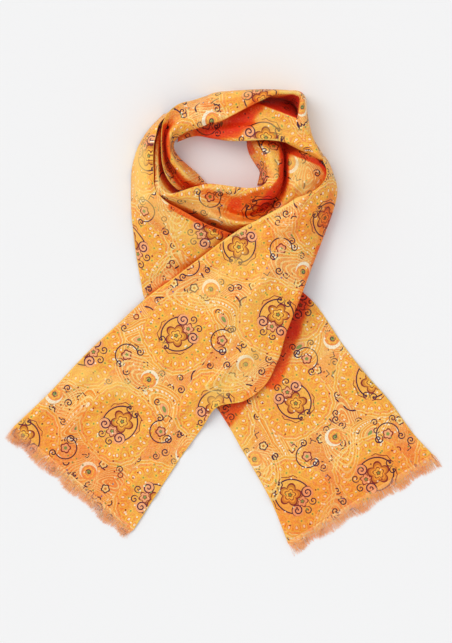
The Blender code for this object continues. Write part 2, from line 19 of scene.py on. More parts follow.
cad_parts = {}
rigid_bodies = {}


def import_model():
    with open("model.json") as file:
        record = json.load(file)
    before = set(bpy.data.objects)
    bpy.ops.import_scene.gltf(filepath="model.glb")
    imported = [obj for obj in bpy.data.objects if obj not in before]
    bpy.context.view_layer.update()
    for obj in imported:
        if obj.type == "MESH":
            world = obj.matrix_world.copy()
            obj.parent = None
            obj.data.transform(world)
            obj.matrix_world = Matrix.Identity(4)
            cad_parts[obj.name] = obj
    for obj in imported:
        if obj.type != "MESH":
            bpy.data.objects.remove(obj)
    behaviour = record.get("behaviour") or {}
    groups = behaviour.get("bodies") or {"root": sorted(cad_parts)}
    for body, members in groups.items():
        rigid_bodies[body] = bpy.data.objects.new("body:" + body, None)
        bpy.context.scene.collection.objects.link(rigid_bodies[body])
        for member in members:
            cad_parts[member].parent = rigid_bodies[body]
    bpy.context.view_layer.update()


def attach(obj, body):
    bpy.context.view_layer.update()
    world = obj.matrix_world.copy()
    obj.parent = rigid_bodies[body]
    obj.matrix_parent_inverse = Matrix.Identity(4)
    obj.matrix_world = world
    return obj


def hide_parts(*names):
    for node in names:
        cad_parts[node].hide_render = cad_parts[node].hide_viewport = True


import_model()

TURN = 2 * math.pi
MM = 0.001

# The drafting grid: 163 of its units are the cloth's width
CLOTH_WIDTH = 0.18
GRID = CLOTH_WIDTH / 163.0
GRID_CENTRE = (221.4, 321.7)

# The cloth's own thickness, and how near to the surface its outer face may come
CLOTH_THICK = 0.0005
LEAST_HEIGHT = 0.0006

# Folds are rounded over this width, in grid units, but over no more than this share of a narrow lip
FOLD_WIDTH = 2.7
LARGEST_FOLD_SHARE = 0.35

# Where the rails stand across a section, as shares of the way over it
TAIL_SHARES = (0, 0.1, 0.25, 0.45, 0.68, 0.86)
PANEL_SHARES = (0, 0.1, 0.25, 0.45, 0.65, 0.83, 1)
BACK_SHARES = (0.34, 0.68)
LIP_SHARE = 0.55
OUTLINE_SHARE = 0.85
POCKET_SHARE = 0.3
SELVEDGE_SHARES = (0.45, 0.78)
SHOULDER_SHARE = 0.36
DROP_SHARE = 0.7
DROP_STEP = 0.1
SLOPE_REST = 0.45
SLOPE_STEP = 0.4

# Powers of a panel's slow ramp and of its wall at the outer edge
RAMP_POWER = 1.5
DOME_POWER = 2.6

# Heights in millimetres: rails over or under the lines between the tables' points
BACK_RISE = 1
EDGE_DROP = 1.5
LIP_FALL = 2
OUTLINE_FALL = 8
POCKET_FALL = 5
RIM_DROP = 1
LIP_DROP = 0.5
HEM_RISE = 1.5
OUTLINE_HEIGHTS = (20, 10, 0)
CLOTH_END = 1.2
HOLLOW_Z = 2

# How much further from the ridge the hollow's bottom is tucked, as a share of its distance
POCKET_TUCK = 0.45

# How far cloth bends draw the grid's columns together, and how finely a section is read for it
BEND_LENGTH = 0.002
FINE_STEPS = 24
CHORD_POWER = 0.75

# The tables below have a row for each section of a stretch of cloth. The letters before x, y and z say which
# point of the section is meant.

# Front tail, from its cloth end to the tucked end of the right shoulder: left edge l and right edge r, how
# far the middle stands over the line between them, how far the hem rolls back under the right edge, and the
# hem's height
FRONT_TAIL = (
    # lx ly lz, rx ry rz, crown, roll, hem_z
    (13.5, 427, 1.2, 133.5, 530, 1.2, 0, -3, 1.2),
    (50, 392, 1.2, 160, 489, 1.2, 0, -3, 1.2),
    (90, 350, 1.2, 186, 450, 1.2, 0, -3, 1.2),
    (118, 324, 2.6, 202, 428, 3.5, 0.5, -3, 3.5),
    (145, 299, 6, 217, 407, 11, 1, -3, 12),
    (175, 277, 11, 246, 400, 8, 3, -3, 8),
    (203, 256, 18, 268, 381, 6, 5, -2, 6),
    (222, 241.5, 25, 279, 358, 10, 5, 0.5, 8),
    (240, 229.5, 29, 286, 334, 20, 5, 1, 17),
    (257, 220.5, 32, 302, 293, 26, 4, 2, 21),
    (272, 212.5, 34, 313, 264, 17, 9, 3, 8),
    (286, 205, 36, 325, 233, 13, 12, 3, 1.5),
    (297, 198, 37, 334, 208, 12, 12, 2.5, 0),
    (307, 194.5, 37, 337, 194, 12, 10, 2, 0),
    (317, 189, 37, 336.5, 185, 13, 8, 1.5, 0),
    (325, 179, 37, 334, 176.5, 14, 6, 1, 0),
    (325.8, 169.5, 37, 331, 168, 14, 5, 0.8, 0),
    (322.9, 162, 37.5, 327, 159.5, 14, 4, 0.6, 0),
    (321.6, 158.4, 35.5, 324, 156.2, 13, 3, 0.4, 0),
)

# Back tail and left panel: outer edge o, inner edge i, and how steeply the cloth rises at the outer edge,
# from 0 for a slow ramp to 1 for a wall
BACK_TAIL = (
    # ox oy, ix iy iz, belly
    (288, 543, 433, 455, 1.2, 0),
    (272, 503, 412, 432, 1.2, 0),
    (254, 470, 388, 399, 1.2, 0),
    (241, 448, 364, 372, 1.2, 0),
    (231, 430, 341, 342, 1.2, 0),
    (217, 408, 316, 305, 1.2, 0),
    (200, 385, 290, 281, 1.2, 0),
    (181, 352, 265, 258, 3, 0),
)
LEFT_PANEL = (
    # ox oy, ix iy iz, belly
    (163, 325, 249, 245, 12, 0),
    (145, 299, 232.5, 234.5, 19, 0.1),
    (141, 282, 206, 224, 23, 0.3),
    (137.5, 263, 178, 208.5, 27, 0.5),
    (135.5, 251, 167, 202.5, 28, 0.6),
    (134, 238, 157, 192, 30, 0.7),
    (131.5, 215, 154, 172, 33, 0.8),
    (131, 190, 154, 150, 34.5, 0.85),
    (132, 168, 156, 137, 34, 0.9),
    (138, 147, 160, 124, 30, 0.9),
    (149, 129, 169, 115, 25, 0.9),
    (163, 114.5, 179, 109, 18, 0.8),
)

# The strip over the back of the neck runs right along the back band, round the hollow at the corner, and left
# along the top band, which leans in over the back band, into the left inner band.

# Back band: bottom of the hollow p, ridge beside it k, free edge e, the turned-under edge u and its foot f
BACK_BAND = (
    # px py, kx ky kz, ex ey ez, ux uy uz, fx fy fz
    (180, 120, 178, 130, 7, 178, 141, 7, 177.5, 142, 4, 177, 142.5, 0),
    (197, 112, 197, 122, 16, 197, 136.3, 16, 197, 136, 8, 197, 134.5, 0),
    (213, 107, 213, 118, 21, 213, 139, 24, 213, 138.3, 12, 213, 136, 0),
    (230, 102, 230, 113, 24, 230, 141.5, 30, 230, 140.5, 17, 230, 138, 6),
    (246, 99, 246, 106, 25, 246, 141.8, 34, 246, 139.5, 26, 246, 136.5, 20),
    (254, 98.7, 254, 105.2, 26.5, 254, 141.4, 35, 254, 138.5, 30, 254, 134.5, 27),
    (264, 98.9, 264, 106.5, 28, 264, 141, 36, 264, 139.5, 32, 264, 136, 30),
    (276, 99.8, 273, 109.5, 28, 277, 142, 36.5, 277, 141.2, 33.5, 277, 139.5, 31.5),
    (284, 101.8, 281.5, 112, 28, 288, 144.3, 36.5, 288.1, 144.8, 34, 288.2, 145.4, 31.5),
    (290, 104.8, 288.5, 115, 29, 298, 147.8, 37, 298.4, 149, 34, 298.8, 150.6, 31.5),
    (294.8, 108.8, 294, 118, 31, 309, 152.4, 37.5, 309.5, 153.9, 34.5, 310, 155.6, 31.5),
    (297.2, 112, 296.7, 119, 33, 321, 160.3, 37.5, 321.2, 161, 34, 321.2, 161.6, 30),
)

# Top band: bottom of the hollow p, inner top edge e and outline o
TOP_BAND = (
    # px py pz, ex ey ez, ox oy
    (297.4, 111.4, 6, 297.3, 117, 34, 322.5, 155),
    (296.3, 108.4, 6, 298, 114.5, 35, 313.5, 140),
    (293.8, 105.6, 7, 299, 109, 36, 309.5, 126),
    (290.5, 102.9, 8, 300.3, 103, 37, 306.8, 111),
    (287, 100.9, 9, 300.7, 98, 37.5, 305, 97.3),
    (283.5, 99.6, 10, 296, 95.3, 38, 299.8, 92.2),
    (280, 98.9, 11, 287, 95, 38.5, 288.8, 90.9),
    (272.5, 98.6, 14, 274.5, 95.8, 39.5, 275, 90.2),
    (263, 98, 20, 262, 101.5, 40.5, 261.5, 90),
    (250, 99, 27, 248, 108.5, 41, 247.5, 90.6),
    (234, 104, 30, 232, 117, 42, 231.5, 91.6),
    (219, 111, 31, 216, 124, 41, 212.7, 94),
)

# Left inner band: foot f in the neck opening, hole edge h, lip l, valley v and selvedge s
LEFT_INNER = (
    # fx fy fz, hx hy hz, lx ly lz, vx vy vz, sx sy sz
    (203, 123, 30, 201.5, 128.5, 34, 198.5, 114.5, 38, 196, 108.5, 32, 193.5, 100.5, 12),
    (190.5, 127, 24, 189, 132, 29, 186.5, 121, 37, 183, 115, 31, 178, 105.5, 27),
    (180, 133, 18, 180, 137, 25, 176.5, 128, 36, 172.5, 122.5, 28, 168, 115, 35),
    (174.5, 140, 10, 175, 142, 19, 171, 134, 36, 167.4, 130, 25, 163.6, 124, 37),
    (174.3, 149, 0, 174.5, 149.5, 12, 168.7, 142.7, 35, 165.4, 140.8, 22, 162, 136, 37),
    (179, 158, 0, 179.5, 157.5, 9, 169.5, 153, 33, 165.6, 151.5, 20, 161.9, 149, 36.5),
    (186.5, 165, 0, 187, 164.5, 7, 173, 163, 30, 168, 163.5, 17, 162.9, 164, 35),
    (195.5, 172.5, 0, 196, 172, 6, 180.5, 171.5, 27, 174, 174, 14, 167, 177, 33),
    (203, 180.5, 0, 203.5, 180, 5, 188, 180, 22, 181, 183.5, 11, 173.5, 186, 30),
    (207.3, 184.4, 0, 207, 183.8, 5, 195, 187, 16, 187.5, 189.4, 8, 179.5, 190.8, 26),
)

# Front band and right band: foot n and inner wall w inside the rim r, how far the slope beside the rim stands
# over the line to the valley and how sharply it drops there, the valley v, the crest c and the hem h
FRONT_BAND = (
    # nx ny nz, wx wy wz, rx ry rz, puff, drop, vx vy vz, cx cy cz, hx hy hz
    (173, 122.5, 6, 171.5, 122, 10, 168.5, 120.5, 14, 0, 0, 165, 118.7, 9, 164.4, 118.4, 5, 163.8, 118, 1.2),
    (169, 129, 7, 167.3, 128.5, 14, 164.5, 127.3, 19, 0, 0, 161, 125.7, 12, 160.2, 125.3, 7, 159.4, 125, 1.2),
    (164.5, 139, 8, 163, 139, 20, 159.8, 139, 27, 0, 0, 154.5, 138.5, 18, 153, 138.5, 10, 151.5, 138, 1.2),
    (163.5, 152, 8, 161.8, 151.5, 22, 158.5, 151, 30, 0, 0, 153, 151, 27, 151, 151, 24, 149, 151, 20),
    (165.5, 165, 8, 162, 165, 22, 158.3, 165, 31, 0, 0, 152.8, 165.5, 29, 150.8, 166, 27.5, 148.5, 167, 24),
    (170, 175.2, 7, 164, 177.5, 22, 159, 180, 32, 0, 0, 154, 182.5, 29, 151.8, 184.5, 27.5, 149.8, 188, 24),
    (175, 184.3, 6, 167.5, 187, 24, 162, 190, 33, 0, 0, 158.5, 195.5, 28, 157, 200, 25, 155.5, 205, 20),
    (180, 191.3, 3, 172.5, 193.5, 24, 168.5, 194.5, 34, 0, 0, 168, 201.5, 26, 168.5, 207, 21, 169.5, 214, 12),
    (184.5, 196, 1.2, 180, 196.2, 20, 178.6, 193.3, 34.5, 2, 0, 182, 204, 27, 185, 209, 22, 188, 222, 1.2),
    (191.5, 194.5, 1.2, 191, 192.5, 20, 190, 189.2, 34.5, 2, 0, 192, 205, 26, 194, 211, 23, 196, 226, 1.2),
    (200, 192.5, 1.2, 199.5, 190.5, 20, 198.5, 186.8, 34, 2, 0, 201, 206, 25, 203, 213.5, 24, 204, 229, 1.2),
    (210.5, 191.5, 1.2, 210, 189, 20, 209, 184.8, 34, 1, 0.2,
     215, 209, 21, 215.5, 216.5, 25, 215.5, 232.5, 1.2),
    (222, 192.5, 1.2, 222, 190, 20, 222, 185.8, 33, 0, 0.4, 230, 214, 14, 230, 221.5, 24, 229.5, 237.5, 1.2),
    (236.5, 194.5, 1.2, 236.5, 192, 20, 236, 187.8, 33, 0, 0.6, 247, 217, 12, 246, 224, 24, 243, 241, 1.2),
    (253, 196, 1.2, 252, 193.5, 20, 250, 188.8, 33.5, 2, 0.6, 263.5, 211.5, 13, 265, 219, 24, 264, 231, 6),
)
RIGHT_BAND = (
    # nx ny nz, wx wy wz, rx ry rz, puff, drop, vx vy vz, cx cy cz, hx hy hz
    (269.5, 190, 1.2, 268, 188.5, 20, 264, 185.5, 34, 6, 0.7, 277, 198, 13, 284, 202, 25, 302, 205, 25),
    (273, 178, 1.2, 272, 177, 20, 268, 176.5, 34.5, 10, 0.9, 283.8, 182, 11, 288.5, 182, 26, 326, 184.5, 26),
    (271, 167, 1.2, 270, 166, 20, 266, 165, 34.5, 10, 1, 284.4, 170, 10, 288.5, 170.5, 26, 329.4, 176, 25.2),
    (269, 157, 1.2, 268.3, 156.5, 20, 264.3, 156, 33.5, 10, 1, 284.7, 159, 10, 288.5, 160, 25, 322, 165, 26),
    (265.5, 147, 1.2, 264.5, 146.8, 18, 260.5, 146.3, 29, 7, 1,
     284, 149.5, 8, 288.5, 154, 21, 308, 150.8, 24),
    (262.5, 138, 1.2, 261.5, 138, 14, 258, 138, 23, 5, 1, 282, 142, 5, 286, 146.5, 6, 299, 144, 12),
    (260, 131, 1.2, 259, 131, 12, 255.5, 131, 18, 4, 1, 279, 134, 4, 283, 138, 5, 292, 136, 6),
)

# Inner turn, seen at the right of the neck opening: foot f, middle m and top t
INNER_TURN = (
    # fx fy, mx my mz, tx ty tz
    (246.5, 139, 251, 138.5, 10, 255.5, 137.5, 16),
    (247, 147, 252, 146.5, 14, 258.6, 146, 23),
    (250, 156, 256, 155.5, 14, 263.4, 155, 25),
    (255.5, 165, 260, 164.5, 14, 266.2, 163.8, 26),
    (259.5, 172, 263, 172.5, 13, 268.4, 173, 24),
    (258.5, 179.5, 262.5, 180, 12, 266.6, 180.8, 21),
    (257, 185, 259.5, 184.3, 9, 262, 183.6, 15),
)

# Soft creases: where the ridge or, with a negative height, the trough starts and ends in plan,
# how wide it is to each side, in grid units, and its height in millimetres
CREASES = {
    # x0 y0 x1 y1, wide, height
    "front_cloth": (
        (30, 425, 96, 372, 5, 1.1), (52, 448, 140, 370, 9, 1.6), (95, 480, 165, 420, 7, 1.3),
        (120, 500, 176, 452, 4, 0.9), (70, 395, 150, 330, 6, 0.9), (150, 380, 205, 318, 8, 1.4),
        (168, 430, 224, 372, 5, 1.6), (180, 300, 262, 250, 7, -1.4), (196, 345, 270, 280, 9, 1.8),
        (205, 395, 262, 345, 6, 2.2), (228, 268, 300, 222, 6, 1.6), (246, 316, 296, 240, 7, 1.9),
        (262, 228, 316, 205, 4, -1.5), (284, 262, 322, 206, 6, -1.7), (300, 236, 330, 196, 3, 1.5),
        (292, 214, 324, 186, 4, 1.6),
    ),
    "lower_cloth": (
        (262, 452, 300, 540, 8, 1.3), (285, 420, 335, 505, 9, 1.7), (318, 370, 372, 478, 7, 1.4),
        (345, 360, 398, 440, 6, 1.1), (300, 330, 340, 395, 6, 1.5), (372, 432, 415, 462, 5, 1.0),
        (138, 260, 190, 300, 7, 1.6), (136, 222, 205, 262, 5, -1.4), (150, 200, 232, 248, 5, 1.8),
        (133, 190, 150, 232, 4, 1.2), (139, 150, 146, 200, 4, -1.5), (146, 132, 152, 170, 4, 1.3),
        (146, 285, 220, 262, 5, -1.2),
    ),
    "loop_cloth": (
        (222, 99, 286, 94, 3, 1.3), (200, 104, 250, 96, 3, -1.5), (176, 116, 226, 105, 3, 1.2),
        (206, 120, 250, 108, 3, -1.3), (184, 132, 222, 116, 3, 1.1), (205, 131, 262, 124, 3, -1.2),
        (214, 136, 300, 128, 4, 1.3), (258, 132, 312, 142, 3, -1.4), (268, 122, 314, 136, 3, 1.5),
        (178, 136, 176, 158, 3, 1.0), (176, 154, 198, 178, 3, -1.2), (182, 152, 204, 176, 3, 1.0),
    ),
    "front_loop_cloth": (
        (166, 192, 214, 216, 3, 1.3), (186, 194, 236, 206, 4, -1.5), (208, 190, 256, 202, 3, 1.4),
        (222, 212, 262, 208, 3, -1.2), (246, 196, 280, 184, 3, 1.3), (266, 150, 280, 188, 4, 1.5),
        (274, 158, 282, 182, 2.5, -1.4), (290, 166, 326, 176, 4, -1.4), (288, 192, 318, 178, 4, 1.4),
        (292, 158, 316, 168, 3, 1.2),
    ),
    "inner_cloth": (),
}
CREASE_SCALE = 1.5
CREASE_BOW = 0.06  # how far a crease bows aside, as a share of its length
CREASE_FADE = 0.35  # the share of a crease's length over which it fades at each end

# Painted shade: in folds that close over each other, in shadows that one stretch casts on another and in
# broad darker stretches. Each row: where the middle of a shaded stretch starts and ends in plan, how wide it
# is to each side, in grid units, and the share of the light that is left in it
SHADES = {
    # x0 y0 x1 y1, wide, left
    "front_cloth": (
        (331, 196, 320, 250, 5, 0.62), (320, 250, 302, 292, 5, 0.55), (298, 300, 282, 342, 5, 0.6),
        (276, 366, 248, 398, 6, 0.6), (276, 238, 318, 216, 16, 0.66), (58, 432, 108, 496, 30, 0.66),
        (84, 408, 148, 412, 10, 0.74), (150, 452, 178, 404, 14, 0.74),
    ),
    "lower_cloth": (
        (304, 296, 291, 330, 9, 0.2), (291, 330, 272, 380, 10, 0.25), (238, 400, 226, 418, 10, 0.3),
        (172, 207, 232, 237, 4, 0.3), (300, 512, 404, 468, 30, 0.64), (266, 452, 292, 400, 16, 0.74),
        (158, 288, 184, 262, 12, 0.72),
    ),
    "loop_cloth": (
        (212, 134, 246, 122, 9, 0.25), (236, 124, 256, 108, 7, 0.3), (200, 134, 236, 134, 6, 0.4),
        (166, 128, 168, 158, 3.5, 0.3), (268, 96, 206, 108, 4, 0.66),
    ),
    "front_loop_cloth": (
        (284, 146, 283, 180, 4.5, 0.1), (283, 180, 262, 208, 5, 0.15), (266, 196, 236, 206, 8, 0.4),
        (206, 194, 236, 204, 6, 0.5), (290, 152, 322, 165, 2.6, 0.15), (322, 165, 328, 177, 2.2, 0.2),
    ),
    "inner_cloth": ((247, 140, 252, 152, 3, 0.4),),
}

# Painted highlights where folded edges and soft swells catch the light, and how strong the light is there
GLINTS = {
    # x0 y0 x1 y1, wide, light
    "front_cloth": (
        (222, 241.5, 307, 195, 1.4, 0.6), (78, 374, 124, 388, 9, 0.4), (214, 396, 256, 356, 8, 0.34),
        (196, 296, 244, 262, 10, 0.26), (236, 330, 262, 276, 9, 0.22),
    ),
    "lower_cloth": (
        (167, 202.5, 232, 234.5, 1.4, 0.5), (140, 152, 142, 196, 7, 0.55), (144, 200, 190, 238, 8, 0.34),
        (304, 330, 336, 372, 8, 0.2), (232, 424, 262, 470, 6, 0.2),
    ),
    "loop_cloth": (
        (246, 141.2, 277, 141.6, 1.5, 0.9), (256, 105.6, 294, 118, 1.2, 0.5), (280, 93.6, 299, 95, 1.6, 0.7),
        (216, 124, 262, 101.5, 1.3, 0.5), (171, 134, 169.5, 153, 1.3, 0.6), (169.5, 153, 188, 180, 1.3, 0.6),
        (266, 122, 288, 134, 7, 0.26), (214, 100, 246, 96, 5, 0.22),
    ),
    "front_loop_cloth": (
        (179, 193, 222, 185.8, 1.2, 0.4), (222, 185.8, 254, 188.5, 1.2, 0.3),
        (222, 216, 246, 222, 3.5, 0.45), (159, 148, 158.3, 178, 1.3, 0.6), (158.3, 178, 170, 195, 1.3, 0.6),
        (298, 162, 306, 188, 9, 0.34), (270, 150, 276, 176, 4, 0.3), (184, 202, 214, 214, 6, 0.24),
    ),
    "inner_cloth": (),
}

# How far from its line a stroke ends, and over how much of that it fades, as shares of its width
STROKE_END = 1.3
STROKE_FADE = 0.6

# The hollow between the back band and the top band, where deep shade is painted: its corners in plan, how
# high the cloth in it may stand, in millimetres, and how softly it starts, in grid units
HOLLOW_CORNERS = ((255, 103.6), (303, 92), (297.5, 120.5))
HOLLOW_TOP = 33.5
HOLLOW_EDGE = 0.9

# Slow swells over the whole cloth, their wave lengths in grid units and heights in millimetres
SWELLS = (
    # way_x way_y, wave, phase, height
    (0.81, 0.59, 61, 0.4, 0.45),
    (-0.35, 0.94, 43, 2.1, 0.35),
    (0.97, -0.24, 29, 4.0, 0.22),
    (0.52, 0.85, 17, 1.2, 0.12),
)

# Free edges ripple: wave lengths in grid units with phases and sizes, how far in the ripple reaches, its
# height in millimetres and the deepest that it dips, as a share of that
EDGE_WAVES = ((34.0, 0, 1), (21, 1.3, 0.6))
EDGE_WIDE = 7.0
EDGE_RISE = 0.9
EDGE_DIP = -0.5

# The pieces whose first row is a frayed end, and over what length from it they lie flat, in grid units
FRINGED = ("front_cloth", "lower_cloth")
END_FLAT = 10.0

# The cloth is flattened on coarse grids first: how much coarser each is, and in how many rounds. None has
# fewer rows or columns than these. Each round moves the points by RELAX_SHARE of what their neighbours ask
# for, and two points that nearly meet count as TINY grid units apart.
FLATTEN_ROUNDS = ((10, 700), (4, 250), (1, 60))
FEWEST_ROWS = 8
FEWEST_COLUMNS = 6
RELAX_SHARE = 1.6
TINY = 1e-6

# A place too far from any free edge to be near it, in grid units
FAR_FROM_EDGE = 60.0


def place(x, y, z):
    """A point of the drafting grid, with a height in millimetres, in metres."""
    return ((x - GRID_CENTRE[0]) * GRID, (GRID_CENTRE[1] - y) * GRID, z * MM)


def plan(points):
    """Where points given in metres stand on the drafting grid."""
    return points[..., 0] / GRID + GRID_CENTRE[0], GRID_CENTRE[1] - points[..., 1] / GRID


def between(a, b, t):
    """The point a share t of the way from a to b."""
    return tuple(p + (q - p) * t for p, q in zip(a, b))


def lifted(point, rise):
    return (point[0], point[1], point[2] + rise)


def tail_section(lx, ly, lz, rx, ry, rz, crown, roll, hem_z):
    """Across the front tail: left edge, middle, right edge and the hem that rolls under."""
    left, right = (lx, ly, lz), (rx, ry, rz)
    back = between(right, left, abs(roll) / math.hypot(rx - lx, ry - ly))
    if roll < 0:
        edge, hem = (back[0], back[1], rz), (rx, ry, hem_z)
    else:
        edge, hem = right, (back[0], back[1], hem_z)
    over = [lifted(between(left, edge, share), crown * 4 * share * (1 - share)) for share in TAIL_SHARES]
    return over + [edge, hem]


def panel_section(ox, oy, ix, iy, iz, belly):
    """Across the back tail or left panel, from the outer edge on the surface to the inner edge."""
    points = []
    for share in PANEL_SHARES:
        ramp = share**RAMP_POWER
        dome = 1 - (1 - share) ** DOME_POWER
        rise = (iz - CLOTH_END) * (ramp + (dome - ramp) * belly)
        points.append((ox + (ix - ox) * share, oy + (iy - oy) * share, CLOTH_END + rise))
    return points


def back_section(px, py, kx, ky, kz, ex, ey, ez, ux, uy, uz, fx, fy, fz):
    """Across the back band, from the bottom of the hollow over the ridge to the free edge and its foot."""
    ridge, edge = (kx, ky, kz), (ex, ey, ez)
    pocket = (px + (px - kx) * POCKET_TUCK, py + (py - ky) * POCKET_TUCK, HOLLOW_Z)
    near = between(edge, ridge, FOLD_WIDTH / 2 / math.hypot(ex - kx, ey - ky))
    return [
        pocket,
        between(pocket, ridge, 0.5),
        ridge,
        *(lifted(between(ridge, edge, share), BACK_RISE) for share in BACK_SHARES),
        (near[0], near[1], ez),
        lifted(edge, -EDGE_DROP),
        (ux, uy, uz),
        (fx, fy, fz),
    ]


def top_section(px, py, pz, ex, ey, ez, ox, oy):
    """Across the top band, from the bottom of the hollow over the top edge to the outline and the surface."""
    pocket, edge = (px, py, pz), (ex, ey, ez)
    outline = [(ox, oy, height) for height in OUTLINE_HEIGHTS]
    wall = between(edge, pocket, POCKET_SHARE)
    near = between(edge, outline[0], min(FOLD_WIDTH / math.hypot(ox - ex, oy - ey), LARGEST_FOLD_SHARE))
    lip = between(edge, outline[0], LIP_SHARE)
    bend = between(edge, outline[0], OUTLINE_SHARE)
    return [
        pocket,
        (wall[0], wall[1], min(wall[2], ez - POCKET_FALL)),
        lifted(edge, -RIM_DROP),
        (near[0], near[1], ez),
        (lip[0], lip[1], ez - LIP_FALL),
        (bend[0], bend[1], ez - OUTLINE_FALL),
        *outline,
    ]


def ring_section(fx, fy, fz, hx, hy, hz, lx, ly, lz, vx, vy, vz, sx, sy, sz):
    """Across the left inner band, from its foot in the neck opening over lip and valley to the selvedge."""
    hole, lip, valley, selvedge = (hx, hy, hz), (lx, ly, lz), (vx, vy, vz), (sx, sy, sz)
    into = between(lip, hole, FOLD_WIDTH / 2 / math.hypot(hx - lx, hy - ly))
    over = between(lip, valley, FOLD_WIDTH / 2 / math.hypot(vx - lx, vy - ly))
    return [
        (fx, fy, fz),
        hole,
        lifted(between(hole, lip, LIP_SHARE), LIP_FALL),
        (into[0], into[1], lz),
        (over[0], over[1], lz - LIP_DROP),
        valley,
        *(between(valley, selvedge, share) for share in SELVEDGE_SHARES),
        selvedge,
    ]


def band_section(nx, ny, nz, wx, wy, wz, rx, ry, rz, puff, drop, vx, vy, vz, cx, cy, cz, hx, hy, hz):
    """Across the front or right band, from its inner foot over rim, valley and crest to the hem."""
    valley, crest, hem = (vx, vy, vz), (cx, cy, cz), (hx, hy, hz)
    over = FOLD_WIDTH / math.hypot(vx - wx, vy - wy)
    rim = (rx + (vx - wx) * over, ry + (vy - wy) * over, rz)
    shoulder = lifted(between(rim, valley, SHOULDER_SHARE), puff)
    near = between(rim, valley, DROP_SHARE + DROP_STEP * drop)
    near_z = vz + (shoulder[2] - vz) * (SLOPE_REST + SLOPE_STEP * drop)
    return [
        (nx, ny, nz),
        (wx, wy, wz),
        (rx, ry, rz - LIP_DROP),
        rim,
        shoulder,
        (near[0], near[1], near_z),
        valley,
        crest,
        lifted(between(crest, hem, 0.5), HEM_RISE),
        hem,
    ]


def inner_section(fx, fy, mx, my, mz, tx, ty, tz):
    """Across the inner turn, from its foot up."""
    return [(fx, fy, 0), (mx, my, mz), (tx, ty, tz)]


def rails(rows, section):
    """Sections as an array of rows by rails by x, y, z, in metres."""
    return np.array([[place(*point) for point in section(*row)] for row in rows])


def spline(points, at, when):
    """A smooth curve through points, given at the parameters at, read at the parameters when."""
    step = np.diff(at)
    slope = np.diff(points, axis=0) / step[:, None]
    tangent = np.empty_like(points)
    tangent[0] = slope[0]
    tangent[-1] = slope[-1]
    weight = (step[1:] / (step[:-1] + step[1:]))[:, None]
    tangent[1:-1] = slope[:-1] * weight + slope[1:] * (1 - weight)
    cell = np.clip(np.searchsorted(at, when, side="right") - 1, 0, len(step) - 1)
    wide = step[cell][:, None]
    t = ((when - at[cell]) / step[cell])[:, None]
    start = points[cell] * (2 * t**3 - 3 * t**2 + 1) + tangent[cell] * wide * (t**3 - 2 * t**2 + t)
    end = points[cell + 1] * (3 * t**2 - 2 * t**3) + tangent[cell + 1] * wide * (t**3 - t**2)
    return start + end


def running(steps):
    """The sums of steps along the last axis, starting with 0."""
    return np.concatenate((np.zeros_like(steps[..., :1]), np.cumsum(steps, axis=-1)), axis=-1)


def lengths(points, axis):
    """The distances between neighbouring points along an axis."""
    return np.linalg.norm(np.diff(points, axis=axis), axis=-1)


def distances(chain):
    """The distance along a chain at each of its rows, averaged over the rails."""
    return running(lengths(chain, 0).mean(axis=1))


def widths(grid):
    """How far each point of a grid is from its first column, in grid units."""
    return running(lengths(grid, 1) / GRID)


def across(section, when):
    """A smooth curve across one section, read at rail numbers and shares between them."""
    chord = running(lengths(section, 0) ** CHORD_POWER)
    return spline(section, chord, np.interp(when, np.arange(len(section)), chord))


def column_places(sections, count):
    """Places of the grid's columns, the same in all sections, closer together where the cloth bends."""
    spans = sections.shape[1] - 1
    fine = np.linspace(0, spans, FINE_STEPS * spans + 1)
    curves = np.array([across(section, fine) for section in sections])
    heading = unit(np.diff(curves, axis=1))
    cosines = np.clip((heading[:, 1:] * heading[:, :-1]).sum(axis=2), -1, 1)
    bend = np.concatenate((np.zeros((len(curves), 1)), np.arccos(cosines)), axis=1)
    total = running((lengths(curves, 1) + BEND_LENGTH * bend).mean(axis=0))
    return np.interp(np.linspace(0, total[-1], count), total, fine)


def sheet_grid(chain, rows, columns):
    """The grid of points of a whole chain, evenly spaced along it."""
    at = distances(chain)
    when = np.linspace(at[0], at[-1], rows)
    sections = np.stack([spline(chain[:, rail], at, when) for rail in range(chain.shape[1])], axis=1)
    places = column_places(sections, columns)
    return np.array([across(section, places) for section in sections])


def unit(vectors):
    """The vectors at length 1, or at 0 where they have no length."""
    return vectors / np.maximum(np.linalg.norm(vectors, axis=-1, keepdims=True), 1e-12)


def headings(grid):
    """The direction along the first axis at each point, halfway between the directions to it and from it."""
    step = unit(np.diff(grid, axis=0))
    return unit(np.concatenate((step[:1], step)) + np.concatenate((step, step[-1:])))


def headings_over(grid):
    return headings(grid.transpose(1, 0, 2)).transpose(1, 0, 2)


def stroke(points, x0, y0, x1, y1, wide):
    """How strongly each point, given in metres, lies on a stroke in plan: 1 on its line, less beside it."""
    x, y = plan(points)
    dx, dy = x1 - x0, y1 - y0
    along = np.clip(((x - x0) * dx + (y - y0) * dy) / (dx * dx + dy * dy), 0, 1)
    off = np.hypot(x - x0 - along * dx, y - y0 - along * dy)
    return np.clip((wide * STROKE_END - off) / (wide * STROKE_FADE), 0, 1)


def in_hollow(points):
    """How far inside the dark hollow each point, given in metres, lies: 0 outside it and 1 well within."""
    x, y = plan(points)
    inside = np.ones(len(points))
    for a, b in zip(HOLLOW_CORNERS, HOLLOW_CORNERS[1:] + HOLLOW_CORNERS[:1]):
        dx, dy = b[0] - a[0], b[1] - a[1]
        off = ((y - a[1]) * dx - (x - a[0]) * dy) / math.hypot(dx, dy)
        inside = np.minimum(inside, np.clip(off / HOLLOW_EDGE, 0, 1))
    return inside * (points[:, 2] < HOLLOW_TOP * MM)


